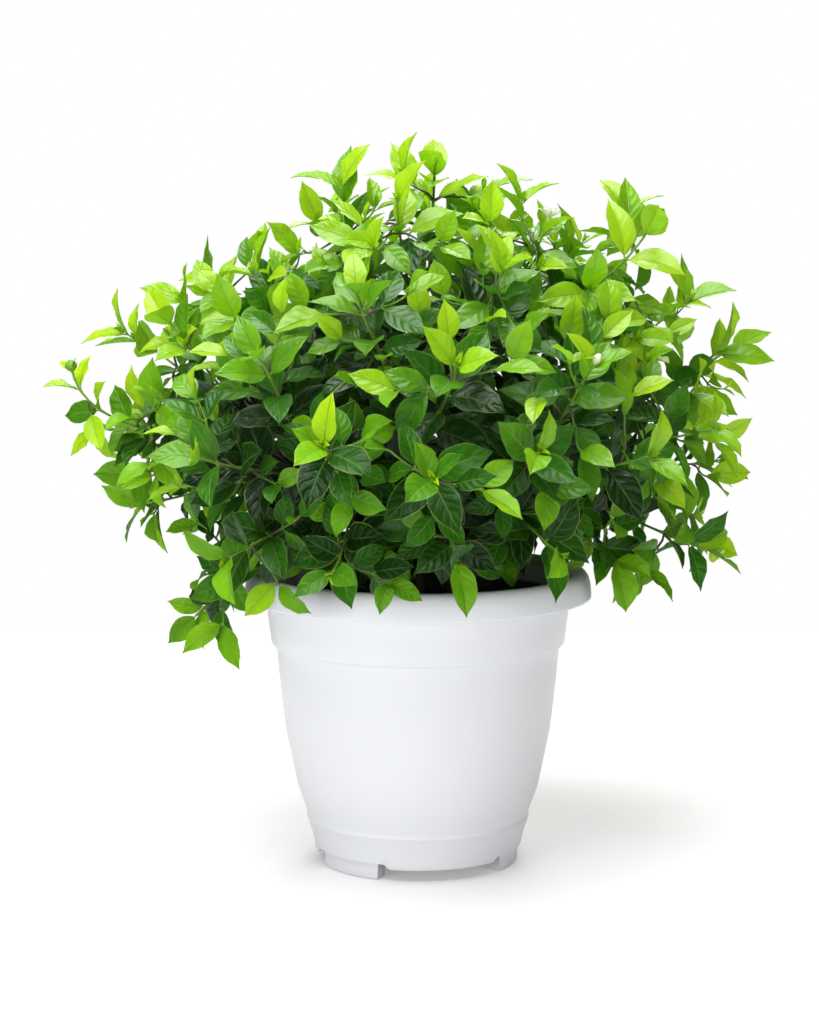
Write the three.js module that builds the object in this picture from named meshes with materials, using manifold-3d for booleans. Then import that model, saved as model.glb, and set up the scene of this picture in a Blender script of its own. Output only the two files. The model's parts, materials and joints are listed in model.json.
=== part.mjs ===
// A bush of Arabian jasmine growing in a white moulded pot.
// Millimetres, +Z up. The origin is on the floor under the middle of the pot, and the front faces -Y.

import * as THREE from 'three';
import { mergeVertices } from 'three/addons/utils/BufferGeometryUtils.js';
import Module from 'manifold-3d';

const wasm = await Module();
wasm.setup();

// The pot: its wall is one profile of [radius, height], turned round Z

const POT_SIDES = 28;
const FLOOR_UNDER = 17;
const FLOOR_TOP = 19.5;
const SKIRT_BOTTOM = 12;
const SKIRT_INSIDE = 98;
const RIM_CREST = 285.5;
const RIM_RADIUS = 168;
const POT_OUTSIDE = [
  [SKIRT_INSIDE, SKIRT_BOTTOM], [100.5, SKIRT_BOTTOM], [103, 26], [108.8, 44], [107.4, 46],
  [117.5, 75], [129, 130], [135, 183], [137.5, 212.5], [142.6, 216.5], [147.5, 262],
];
const POT_LIP = [
  [149, 277], [159, 281.5], [165.4, 260], [RIM_RADIUS, 260], [167.2, 272], [163.5, 282],
  [158.5, RIM_CREST], [153, 284],
];
const POT_INSIDE = [
  [147.5, 275], [144.8, 258], [140.2, 218], [135.1, 212], [132.4, 183], [126.4, 130],
  [115, 75], [100.5, 28], [99.5, FLOOR_TOP],
];

// Three feet of the same moulding stand under the floor, and the skirt is notched over each

const FOOT_COUNT = 3;
const FIRST_FOOT = THREE.MathUtils.degToRad(-45);
const FOOT_WIDTH = THREE.MathUtils.degToRad(44);
const NOTCH_WIDTH = THREE.MathUtils.degToRad(60);
const FOOT_OUTER = 97.6;
const FOOT_INNER = 80;
const FOOT_SINK = 1;
const NOTCH_INNER = 96;
const NOTCH_OUTER = 106;

const DRAIN_COUNT = 5;
const DRAIN_RING = 62;
const DRAIN_RADIUS = 6;
const DRAIN_SIDES = 6;

// The soil fills the pot to just under the lip

const FIT_GAP = 0.35;
const SOIL_TOP = 262;
const SOIL_EDGE = 256;
const SOIL_RINGS = [132, 70];

// The woody stems stand in plain holes in the soil

const STEM_DEPTH = 60;
const STEM_STRAIGHT = 8;
const STEM_RADIUS = 4.6;
const STEM_END_RADIUS = 2.4;
const STEM_HOLE_RADIUS = STEM_RADIUS + 0.42;
const STEM_SIDES = 6;
const BRANCH_SIDES = 4;
const BRANCH_THINNING = 0.7;
const BRANCH_END_RADIUS = 1.6;
const TWIG_RADIUS = 1.5;
const TWIG_TIP_RADIUS = 1;
const TWIG_SIDES = 4;
const PIECE_GAP = 0.4;
const BUD_BALL_SIDES = 8;
const BUD_BALL_RINGS = 5;

// Leaves stand in opposite pairs, each pair turned across the last

const LEAF_LENGTH = 52;
const LEAF_THICKNESS = 1;
const LEAF_STALK = 4;
const LEAF_STATIONS = [0.3, 0.68];
const NODE_HALF_HEIGHT = 0.7;
const LAST_PAIR = 5;
const BARE_START = 8;
const PAIR_SPACING = [17, 23, 27, 29, 30, 31, 32];
const PAIR_SIZE = [0.86, 0.96, 1, 1.02, 1, 0.96, 0.92, 0.9];
const PAIR_SPREAD = [0.62, 0.85, 1, 1.08, 1.12, 1.15, 1.15, 1.15];
const TIP_LIFT = 0.12;
const LIGHT_OUT = 0.9;
const LIGHT_UP = 0.6;
const LIGHT_FRONT = 0.8;
const FRONT_FULL_AT = 260;
const FRONT_NONE_AT = 150;
const LOOSE = 0.18;
const LOOSER_EACH_TRY = 0.09;
const SHORTER_EACH_TRY = 0.03;
const DRAWN = {
  tilt: [-0.35, 0.35], length: [0.88, 1.14], breadth: [0.86, 1.08], bend: [0.25, 0.85],
  fold: [0.16, 0.42], twist: [-0.35, 0.35], wave: [0.04, 0.12], phase: [0, 6],
};
const POSES_TRIED = 9;
const CLEARANCE = 0.7;
const BALL_STEP = 7;
const HEART = new THREE.Vector3(0, 0, 380);
const UP = new THREE.Vector3(0, 0, 1);
const FRONT = new THREE.Vector3(0, -1, 0);
const ROUTE_STEPS = 40;

// Each stem: its foot in the soil, the place and heading where its main wood ends, and its shoots.
// A shoot leaves the stem a share of the way up and reaches its tip on a heading. Its last
// stretch, leafy, carries pairs of leaves.

const STEMS = [
  {
    name: 'left', foot: [-30, -6], end: [-128, -8, 392], heading: [-0.75, 0, 0.66],
    shoots: [
      { name: 'far_left', from: 0.9, tip: [-325, -60, 486], heading: [-0.15, -0.05, 1],
        leafy: 200, pairs: 7, size: 0.74, age: 0.5, bud: 6, tipSize: 0.4 },
      { name: 'left_high', from: 0.95, tip: [-274, 46, 506], heading: [-0.84, 0.12, 0.53],
        leafy: 135, pairs: 5, size: 0.95, age: 0.45 },
      { name: 'left_raised', from: 0.8, tip: [-233, -52, 527], heading: [-0.6, -0.1, 0.79],
        leafy: 125, pairs: 5, size: 1, age: 0.35 },
      { name: 'left_low', from: 0.7, tip: [-271, 36, 345], heading: [-0.98, 0.1, -0.12],
        leafy: 130, pairs: 5, size: 0.9, age: 0.6 },
      { name: 'left_hanging', from: 0.45, tip: [-206, -34, 250], heading: [-0.68, -0.14, -0.7],
        leafy: 125, pairs: 5, size: 0.95, age: 0.6 },
    ],
  },
  {
    name: 'front_left', foot: [-26, -34], end: [-92, -112, 392], heading: [-0.5, -0.55, 0.67],
    shoots: [
      { name: 'front_left_high', from: 0.95, tip: [-140, -222, 505], heading: [-0.4, -0.52, 0.75],
        leafy: 125, pairs: 5, size: 1, age: 0.2 },
      { name: 'front_left_mid', from: 0.75, tip: [-195, -205, 415], heading: [-0.66, -0.66, 0.35],
        leafy: 125, pairs: 5, size: 1, age: 0.45 },
      { name: 'front_left_inner', from: 0.85, tip: [-82, -272, 432], heading: [-0.25, -0.9, 0.36],
        leafy: 120, pairs: 4, size: 1, age: 0.5 },
      { name: 'front_left_low', from: 0.5, tip: [-170, -205, 325], heading: [-0.68, -0.68, -0.26],
        leafy: 140, pairs: 5, size: 1.1, age: 0.6 },
      { name: 'front_left_hem', from: 0.45, tip: [-76, -236, 316], heading: [-0.3, -0.85, -0.42],
        leafy: 150, pairs: 5, size: 1, age: 0.65 },
    ],
  },
  {
    name: 'front', foot: [2, -44], end: [4, -128, 410], heading: [0.02, -0.6, 0.8],
    shoots: [
      { name: 'front_top', from: 1, tip: [-55, -205, 560], heading: [-0.2, -0.45, 0.87],
        leafy: 125, pairs: 5, size: 0.95, age: 0.1 },
      { name: 'front_high', from: 0.9, tip: [32, -262, 500], heading: [0.1, -0.75, 0.65],
        leafy: 125, pairs: 5, size: 1, age: 0.3 },
      { name: 'front_mid', from: 0.75, tip: [12, -288, 405], heading: [0, -0.97, 0.25],
        leafy: 115, pairs: 4, size: 1, age: 0.5 },
      { name: 'front_hem', from: 0.5, tip: [34, -236, 326], heading: [0.1, -0.9, -0.42],
        leafy: 150, pairs: 5, size: 1, age: 0.45 },
    ],
  },
  {
    name: 'front_right', foot: [30, -30], end: [98, -108, 395], heading: [0.5, -0.55, 0.67],
    shoots: [
      { name: 'front_right_high', from: 0.95, tip: [152, -222, 497], heading: [0.4, -0.5, 0.77],
        leafy: 120, pairs: 5, size: 0.95, age: 0.2, flower: 'bud' },
      { name: 'front_right_inner', from: 0.85, tip: [104, -258, 425], heading: [0.3, -0.85, 0.43],
        leafy: 120, pairs: 4, size: 1, age: 0.4 },
      { name: 'front_right_mid', from: 0.75, tip: [205, -195, 415], heading: [0.7, -0.62, 0.35],
        leafy: 125, pairs: 5, size: 1, age: 0.45 },
      { name: 'front_right_low', from: 0.5, tip: [125, -215, 330], heading: [0.5, -0.8, -0.3],
        leafy: 140, pairs: 5, size: 1, age: 0.6 },
    ],
  },
  {
    name: 'right', foot: [36, 2], end: [132, -4, 392], heading: [0.75, 0, 0.66],
    shoots: [
      { name: 'far_right', from: 0.95, tip: [309, 42, 498], heading: [0.86, 0.08, 0.5],
        leafy: 140, pairs: 5, size: 0.95, age: 0.3 },
      { name: 'right_front', from: 0.85, tip: [272, -105, 432], heading: [0.86, -0.4, 0.32],
        leafy: 125, pairs: 5, size: 0.95, age: 0.4 },
      { name: 'right_mid', from: 0.75, tip: [300, 72, 384], heading: [0.97, 0.15, 0.18],
        leafy: 130, pairs: 5, size: 0.95, age: 0.45 },
      { name: 'right_low', from: 0.55, tip: [282, -25, 306], heading: [0.95, -0.1, -0.28],
        leafy: 130, pairs: 5, size: 0.9, age: 0.5 },
      { name: 'right_hanging', from: 0.45, tip: [186, -76, 302], heading: [0.72, -0.34, -0.6],
        leafy: 100, pairs: 4, size: 1.05, age: 0.6 },
    ],
  },
  {
    name: 'back_right', foot: [26, 32], end: [96, 104, 400], heading: [0.5, 0.55, 0.67],
    shoots: [
      { name: 'right_raised', from: 0.95, tip: [258, 66, 540], heading: [0.7, 0.2, 0.68],
        leafy: 130, pairs: 5, size: 1, age: 0.25 },
      { name: 'back_right_high', from: 0.9, tip: [168, 205, 500], heading: [0.45, 0.55, 0.7],
        leafy: 125, pairs: 5, size: 1, age: 0.3 },
      { name: 'back_right_mid', from: 0.75, tip: [222, 192, 405], heading: [0.72, 0.62, 0.3],
        leafy: 125, pairs: 5, size: 1, age: 0.45 },
      { name: 'back_right_inner', from: 0.7, tip: [108, 268, 420], heading: [0.35, 0.88, 0.33],
        leafy: 120, pairs: 4, size: 1, age: 0.5 },
      { name: 'back_right_low', from: 0.5, tip: [172, 210, 320], heading: [0.66, 0.7, -0.27],
        leafy: 140, pairs: 5, size: 1, age: 0.6 },
    ],
  },
  {
    name: 'back', foot: [-4, 44], end: [-2, 126, 408], heading: [0, 0.6, 0.8],
    shoots: [
      { name: 'back_top', from: 1, tip: [48, 200, 560], heading: [0.15, 0.5, 0.85],
        leafy: 125, pairs: 5, size: 1, age: 0.2 },
      { name: 'back_high', from: 0.9, tip: [-42, 262, 490], heading: [-0.1, 0.78, 0.62],
        leafy: 125, pairs: 5, size: 1, age: 0.35 },
      { name: 'back_mid', from: 0.75, tip: [5, 296, 398], heading: [0, 0.98, 0.2],
        leafy: 120, pairs: 4, size: 1, age: 0.5 },
      { name: 'back_low', from: 0.5, tip: [-28, 245, 315], heading: [-0.1, 0.88, -0.45],
        leafy: 140, pairs: 5, size: 1, age: 0.6 },
    ],
  },
  {
    name: 'back_left', foot: [-32, 26], end: [-104, 92, 400], heading: [-0.55, 0.5, 0.67],
    shoots: [
      { name: 'left_top', from: 0.95, tip: [-202, 64, 562], heading: [-0.55, 0.2, 0.81],
        leafy: 125, pairs: 5, size: 1, age: 0.2 },
      { name: 'back_left_high', from: 0.9, tip: [-142, 212, 505], heading: [-0.4, 0.6, 0.7],
        leafy: 125, pairs: 5, size: 1, age: 0.3 },
      { name: 'back_left_mid', from: 0.8, tip: [-222, 178, 430], heading: [-0.72, 0.6, 0.35],
        leafy: 125, pairs: 5, size: 1, age: 0.45 },
      { name: 'back_left_inner', from: 0.7, tip: [-112, 262, 385], heading: [-0.4, 0.9, 0.18],
        leafy: 115, pairs: 4, size: 1, age: 0.5 },
      { name: 'back_left_low', from: 0.5, tip: [-205, 180, 318], heading: [-0.74, 0.62, -0.26],
        leafy: 140, pairs: 5, size: 1, age: 0.6 },
    ],
  },
  {
    name: 'middle', foot: [0, 0], end: [6, -4, 470], heading: [0, 0, 1],
    shoots: [
      { name: 'crown', from: 1, tip: [16, 6, 665], heading: [0.05, 0, 1],
        leafy: 140, pairs: 5, size: 1, age: 0 },
      { name: 'crown_front', from: 0.9, tip: [-20, -92, 640], heading: [-0.05, -0.35, 0.93],
        leafy: 130, pairs: 4, size: 0.95, age: 0.05 },
      { name: 'crown_left', from: 0.82, tip: [-78, 18, 630], heading: [-0.3, 0.05, 0.95],
        leafy: 130, pairs: 4, size: 1.15, age: 0.1 },
      { name: 'crown_right', from: 0.86, tip: [118, -45, 612], heading: [0.3, -0.1, 0.95],
        leafy: 130, pairs: 4, size: 0.95, age: 0.05, flower: 'open' },
      { name: 'shoulder_left', from: 0.66, tip: [-154, -48, 572], heading: [-0.5, -0.15, 0.85],
        leafy: 130, pairs: 4, size: 1, age: 0.15 },
      { name: 'shoulder_right', from: 0.7, tip: [212, -62, 610], heading: [0.5, -0.2, 0.84],
        leafy: 130, pairs: 4, size: 1.05, age: 0.1 },
      { name: 'shoulder_front', from: 0.74, tip: [74, -172, 580], heading: [0.2, -0.45, 0.87],
        leafy: 125, pairs: 4, size: 1, age: 0.1 },
      { name: 'crown_back', from: 0.78, tip: [58, 96, 628], heading: [0.15, 0.4, 0.9],
        leafy: 130, pairs: 4, size: 1, age: 0.1 },
      { name: 'shoulder_back', from: 0.58, tip: [-72, 140, 590], heading: [-0.3, 0.45, 0.84],
        leafy: 125, pairs: 4, size: 1, age: 0.2 },
      { name: 'shoulder_back_right', from: 0.62, tip: [164, 96, 600], heading: [0.5, 0.25, 0.83],
        leafy: 130, pairs: 4, size: 1, age: 0.15 },
    ],
  },
];

// Flowers: each stands on the tip of the shoot that names it

const FLOWER_TUBE = 12;
const FLOWER_TUBE_RADIUS = 1.3;
const PETAL_COUNT = 8;
const PETAL_LENGTH = 14;
const PETAL_HALF_WIDTH = 2.7;
const PETAL_THICKNESS = 1.2;
const PETAL_RISE = 0.6;
const FLOWER_SIDES = 6;
const BUD_PROFILE = [[0, 0], [1, 0.2], [1.6, 1.6], [3.6, 4.6], [4.1, 8], [3, 11.4], [0, 13]];

// Looks

const POT_WHITE = { color: '#eef0f4', roughness: 0.35, metalness: 0 };
const SOIL_BROWN = { color: '#231a13', roughness: 0.95, metalness: 0 };
const BARK = { color: '#6a4a2e', roughness: 0.8, metalness: 0 };
const PETAL_WHITE = { color: '#f6f7ec', roughness: 0.5, metalness: 0 };
const YOUNG_LEAF = new THREE.Color('#9fce35');
const OLD_LEAF = new THREE.Color('#245c22');
const LEAF_ROUGHNESS = 0.4;

// Small helpers

function vec(list) {
  return new THREE.Vector3(...list);
}

function randomDraws(seed) {
  const modulus = 2147483647;
  const multiplier = 48271;
  let state = (seed * 7919 + 104729) % modulus;
  const draw = (low, high) => {
    state = (state * multiplier) % modulus;
    return low + (high - low) * state / modulus;
  };
  draw(0, 1);
  return draw;
}

function toSolid(geometry) {
  const bare = geometry.clone();
  for (const name of Object.keys(bare.attributes)) {
    if (name !== 'position') bare.deleteAttribute(name);
  }
  const merged = mergeVertices(bare, 1e-4);
  return new wasm.Manifold(new wasm.Mesh({
    numProp: 3,
    vertProperties: new Float32Array(merged.attributes.position.array),
    triVerts: new Uint32Array(merged.index.array),
  }));
}

function toMesh(name, solid, look) {
  const { vertProperties, triVerts } = solid.getMesh();
  const geometry = new THREE.BufferGeometry();
  geometry.setAttribute('position', new THREE.BufferAttribute(new Float32Array(vertProperties), 3));
  geometry.setIndex(new THREE.BufferAttribute(new Uint32Array(triVerts), 1));
  const mesh = new THREE.Mesh(geometry, new THREE.MeshStandardMaterial(look));
  mesh.name = name;
  return mesh;
}

function facesToGeometry(points, faces) {
  const geometry = new THREE.BufferGeometry();
  const flat = points.flatMap((point) => [point.x, point.y, point.z]);
  geometry.setAttribute('position', new THREE.Float32BufferAttribute(flat, 3));
  geometry.setIndex(faces.flat());
  return geometry;
}

function joinAll(solids) {
  return solids.reduce((sum, solid) => sum.add(solid));
}

// A turned profile of [radius, height], closed on itself or at the axis
function turned(profile, sides) {
  const points = profile.map(([radius, height]) => new THREE.Vector2(radius, height));
  return new THREE.LatheGeometry(points, sides).rotateX(Math.PI / 2);
}

// A block between two radii and two heights, spread to both sides of an angle from the front
function arcBlock(inner, outer, angle, width, bottom, top) {
  const middle = angle - Math.PI / 2;
  const shape = new THREE.Shape();
  shape.absarc(0, 0, outer, middle - width / 2, middle + width / 2, false);
  shape.absarc(0, 0, inner, middle + width / 2, middle - width / 2, true);
  const settings = { depth: top - bottom, bevelEnabled: false, curveSegments: 5 };
  return new THREE.ExtrudeGeometry(shape, settings).translate(0, 0, bottom);
}

// The part of a direction that stands square to a heading, at unit length
function square(direction, heading) {
  return direction.clone().addScaledVector(heading, -direction.dot(heading)).normalize();
}

function ringOf({ place, side, other, radius }, sides, clock = 0) {
  const ring = [];
  for (let k = 0; k < sides; k += 1) {
    const angle = clock + (2 * Math.PI * k) / sides;
    ring.push(place.clone()
      .addScaledVector(side, radius * Math.cos(angle))
      .addScaledVector(other, radius * Math.sin(angle)));
  }
  return ring;
}

function upright(x, y, z, radius) {
  const side = new THREE.Vector3(1, 0, 0);
  return { place: new THREE.Vector3(x, y, z), heading: UP, side, other: UP.clone().cross(side), radius };
}

// A closed tube with flat ends through a list of stations
function taperedTube(stations, sides) {
  const points = stations.flatMap((station) => ringOf(station, sides));
  const faces = [];
  for (let ring = 0; ring + 1 < stations.length; ring += 1) {
    for (let k = 0; k < sides; k += 1) {
      const a = ring * sides + k;
      const b = ring * sides + ((k + 1) % sides);
      faces.push([a, b, b + sides], [a, b + sides, a + sides]);
    }
  }
  const last = (stations.length - 1) * sides;
  for (let k = 1; k + 1 < sides; k += 1) {
    faces.push([0, k + 1, k], [last, last + k, last + k + 1]);
  }
  return facesToGeometry(points, faces);
}

// A route through space that can be asked for the place, heading and side at any distance along it.
// The side direction is carried along without turning about the route.
class Route {
  constructor(start, startHeading, end, endHeading, startPull, endPull) {
    const span = start.distanceTo(end);
    const second = start.clone().addScaledVector(startHeading, startPull * span);
    const third = end.clone().addScaledVector(endHeading, -endPull * span);
    this.points = [];
    for (let i = 0; i <= ROUTE_STEPS; i += 1) {
      const u = i / ROUTE_STEPS;
      const v = 1 - u;
      this.points.push(new THREE.Vector3()
        .addScaledVector(start, v * v * v)
        .addScaledVector(second, 3 * v * v * u)
        .addScaledVector(third, 3 * v * u * u)
        .addScaledVector(end, u * u * u));
    }
    this.reach = [0];
    this.sides = [square(new THREE.Vector3(1, 0, 0), startHeading)];
    for (let i = 1; i <= ROUTE_STEPS; i += 1) {
      const step = this.points[i].clone().sub(this.points[i - 1]);
      this.reach.push(this.reach[i - 1] + step.length());
      this.sides.push(square(this.sides[i - 1], step.normalize()));
    }
    this.length = this.reach[ROUTE_STEPS];
  }

  spot(distance) {
    let i = 1;
    while (i < ROUTE_STEPS && this.reach[i] < distance) i += 1;
    return [i, (distance - this.reach[i - 1]) / (this.reach[i] - this.reach[i - 1])];
  }

  place(distance) {
    const [i, share] = this.spot(distance);
    return this.points[i - 1].clone().lerp(this.points[i], share);
  }

  heading(distance) {
    const near = Math.max(distance - 2, 0);
    const far = Math.min(distance + 2, this.length);
    return this.place(far).sub(this.place(near)).normalize();
  }

  station(distance, radius) {
    const [i, share] = this.spot(distance);
    const heading = this.heading(distance);
    const side = square(this.sides[i - 1].clone().lerp(this.sides[i], share), heading);
    return { place: this.place(distance), heading, side, other: heading.clone().cross(side), radius };
  }
}

// Growth: the routes of the wood and the shoots

function growStem(stem) {
  const foot = new THREE.Vector3(stem.foot[0], stem.foot[1], SOIL_TOP + STEM_STRAIGHT);
  const route = new Route(foot, UP, vec(stem.end), vec(stem.heading).normalize(), 0.35, 0.35);
  return { ...stem, footPlace: foot, route };
}

function stemRadius(share) {
  return STEM_RADIUS + (STEM_END_RADIUS - STEM_RADIUS) * share;
}

function growShoot(stem, shoot) {
  const distance = shoot.from * stem.route.length;
  const start = stem.route.place(distance);
  const startHeading = stem.route.heading(distance);
  const heading = vec(shoot.heading).normalize();
  const route = new Route(start, startHeading, vec(shoot.tip), heading, 0.3, 0.35);
  return { ...shoot, stem, route, leaves: [], woodLength: route.length - shoot.leafy };
}

const stems = STEMS.map(growStem);
const shoots = stems.flatMap((stem) => stem.shoots.map((shoot) => growShoot(stem, shoot)));

// Growth: the leaves

// Half the width of a blade as a share of its length: oval, with a drawn-out point
function halfWidth(t) {
  return 0.3 * Math.sin(Math.PI * Math.pow(t, 0.82)) * (1 - 0.4 * t * t * t);
}

// A place on the blade: t runs from its root to its point, side from -1 to 1 across it
function bladePoint(leaf, t, side) {
  const turn = leaf.bend * t;
  const ahead = LEAF_STALK + leaf.length * Math.sin(turn) / leaf.bend;
  const down = leaf.length * (1 - Math.cos(turn)) / leaf.bend;
  const width = leaf.length * leaf.breadth * halfWidth(t);
  const wave = leaf.wave * Math.sin(11 * t + leaf.phase + 1.3 * side) * Math.abs(side);
  const rise = width * (Math.abs(side) * Math.sin(leaf.fold) + wave);
  const top = leaf.up.clone().multiplyScalar(Math.cos(turn))
    .addScaledVector(leaf.ahead, Math.sin(turn));
  const roll = leaf.twist * t;
  const acrossShare = side * width * Math.cos(leaf.fold);
  return leaf.root.clone()
    .addScaledVector(leaf.ahead, ahead)
    .addScaledVector(leaf.up, -down)
    .addScaledVector(leaf.across, acrossShare * Math.cos(roll) - rise * Math.sin(roll))
    .addScaledVector(top, rise * Math.cos(roll) + acrossShare * Math.sin(roll));
}

// The balls that fill a blade, used to keep leaves out of one another
function bladeBalls(leaf) {
  const balls = [];
  for (const t of [0.16, 0.36, 0.56, 0.76, 0.92]) {
    const width = leaf.length * leaf.breadth * halfWidth(t);
    for (const side of [-0.6, 0, 0.6]) {
      balls.push({ place: bladePoint(leaf, t, side), radius: 0.45 * width, nearTwig: t < 0.3 });
    }
  }
  balls.push({ place: bladePoint(leaf, 1, 0), radius: 0.5 });
  return balls;
}

const placed = [];

function addBalls(balls, owner) {
  for (const ball of balls) placed.push({ ...ball, owner });
}

function insidePot(place, radius) {
  const out = Math.sqrt(place.x * place.x + place.y * place.y);
  const margin = radius + 1;
  if (place.z > RIM_CREST + margin || out > RIM_RADIUS + margin) return false;
  const innerWall = POT_INSIDE[1][0];
  return out > innerWall - margin || place.z < SOIL_TOP + 2 + margin;
}

function isClear(balls, owner) {
  for (const { place, radius, nearTwig } of balls) {
    if (insidePot(place, radius)) return false;
    for (const other of placed) {
      if (nearTwig && other.twig && other.owner === owner) continue;
      const gap = radius + other.radius + CLEARANCE;
      if (place.distanceToSquared(other.place) < gap * gap) return false;
    }
  }
  return true;
}

function routeBalls(route, start, end, radius) {
  const balls = [];
  for (let distance = start; distance <= end; distance += BALL_STEP) {
    balls.push({ place: route.place(distance), radius, twig: true });
  }
  return balls;
}

// How much a leaf turns to the window in front: fully at the outline of the bush as seen from
// there, and not at all at the back
function windowShare(place) {
  const out = Math.hypot(place.x, place.z - HEART.z) / FRONT_FULL_AT;
  return THREE.MathUtils.clamp(out, 0, 1) * THREE.MathUtils.clamp(1 - place.y / FRONT_NONE_AT, 0, 1);
}

// One leaf in one drawn pose. Its upper face turns to the light: up, away from the bush and
// towards the window.
function poseLeaf(shoot, pair, hand, tryNumber) {
  const draw = randomDraws(shoot.number * 1000 + pair * 100 + (hand > 0 ? 50 : 0) + tryNumber);
  const loose = LOOSE + LOOSER_EACH_TRY * tryNumber;
  const node = shoot.route.station(shoot.route.length - pairDistance(pair, shoot), 0);
  const light = node.place.clone().sub(HEART).normalize().multiplyScalar(LIGHT_OUT)
    .addScaledVector(UP, LIGHT_UP)
    .addScaledVector(FRONT, LIGHT_FRONT * windowShare(node.place)).normalize();
  const clock = shoot.clock + pair * Math.PI / 2 + (hand > 0 ? 0 : Math.PI);
  const drawnClock = clock + draw(-loose, loose);
  const outward = node.side.clone().multiplyScalar(Math.cos(drawnClock))
    .addScaledVector(node.other, Math.sin(drawnClock));
  const spread = PAIR_SPREAD[pair] + draw(-loose, loose);
  const ahead = node.heading.clone().multiplyScalar(Math.cos(spread))
    .addScaledVector(outward, Math.sin(spread))
    .addScaledVector(light, TIP_LIFT)
    .normalize();
  const flatUp = square(light.addScaledVector(outward, -0.25), ahead);
  const tilt = draw(...DRAWN.tilt) * (1 + 0.3 * tryNumber);
  const up = flatUp.clone().multiplyScalar(Math.cos(tilt))
    .addScaledVector(ahead.clone().cross(flatUp), Math.sin(tilt));
  const tipSize = pair === 0 && shoot.tipSize ? shoot.tipSize : 1;
  const length = LEAF_LENGTH * shoot.size * tipSize * PAIR_SIZE[pair] * draw(...DRAWN.length)
    * (1 - SHORTER_EACH_TRY * tryNumber);
  return {
    pair, hand, root: node.place, ahead, up, across: ahead.clone().cross(up), length,
    breadth: draw(...DRAWN.breadth),
    bend: draw(...DRAWN.bend),
    fold: draw(...DRAWN.fold),
    twist: draw(...DRAWN.twist),
    wave: draw(...DRAWN.wave),
    phase: draw(...DRAWN.phase),
  };
}

function pairDistance(pair, shoot) {
  let distance = LAST_PAIR;
  const stretch = shoot.leafy / (LAST_PAIR + sumSpacing(shoot.pairs - 1) + BARE_START);
  for (let k = 0; k < pair; k += 1) distance += PAIR_SPACING[k] * stretch;
  return distance;
}

function sumSpacing(count) {
  return PAIR_SPACING.slice(0, count).reduce((sum, gap) => sum + gap, 0);
}

for (const stem of stems) {
  addBalls(routeBalls(stem.route, 0, stem.route.length, STEM_RADIUS), stem);
}
shoots.forEach((shoot, index) => {
  shoot.number = index + 1;
  shoot.clock = randomDraws(shoot.number)(0, Math.PI);
  addBalls(routeBalls(shoot.route, 0, shoot.woodLength, BRANCH_END_RADIUS), shoot.stem);
  addBalls(routeBalls(shoot.route, shoot.woodLength, shoot.route.length, TWIG_RADIUS), shoot);
});

const MOST_PAIRS = Math.max(...shoots.map((shoot) => shoot.pairs));
for (let pair = 0; pair < MOST_PAIRS; pair += 1) {
  for (const shoot of shoots.filter((one) => pair < one.pairs)) {
    for (const hand of [-1, 1]) {
      for (let tryNumber = 0; tryNumber < POSES_TRIED; tryNumber += 1) {
        const leaf = poseLeaf(shoot, pair, hand, tryNumber);
        const balls = bladeBalls(leaf);
        if (isClear(balls, shoot)) {
          shoot.leaves.push(leaf);
          addBalls(balls, shoot);
          break;
        }
      }
    }
  }
}

// Solids of the plant

// A folded blade of few faces, thickest along its midrib. It grows out of the four corners of one
// side of the twig, which are turned to lie as near as they can to the blade's own four corners.
function addBlade(points, faces, leaf, corners) {
  const centre = leaf.root.clone();
  const around = [leaf.up, leaf.across, leaf.up.clone().negate(), leaf.across.clone().negate()];
  const match = (turn) => corners.reduce((sum, corner, k) => (
    sum + points[corner].clone().sub(centre).dot(around[(k + turn) % 4])), 0);
  const turn = [0, 1, 2, 3].reduce((best, other) => (match(other) > match(best) ? other : best));
  let ring = [0, 1, 2, 3].map((k) => corners[(k - turn + 4) % 4]);
  const half = LEAF_THICKNESS / 2;
  for (const t of LEAF_STATIONS) {
    const middle = bladePoint(leaf, t, 0);
    const first = points.length;
    points.push(
      middle.clone().addScaledVector(leaf.up, half), bladePoint(leaf, t, 1),
      middle.clone().addScaledVector(leaf.up, -half), bladePoint(leaf, t, -1));
    const next = [first, first + 1, first + 2, first + 3];
    for (let k = 0; k < 4; k += 1) {
      const [a, b] = [ring[k], ring[(k + 1) % 4]];
      const [c, d] = [next[(k + 1) % 4], next[k]];
      if (k % 2 === 0) faces.push([a, b, c], [a, c, d]);
      else faces.push([a, b, d], [b, c, d]);
    }
    ring = next;
  }
  points.push(bladePoint(leaf, 1, 0));
  for (let k = 0; k < 4; k += 1) faces.push([ring[k], ring[(k + 1) % 4], points.length - 1]);
}

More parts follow.
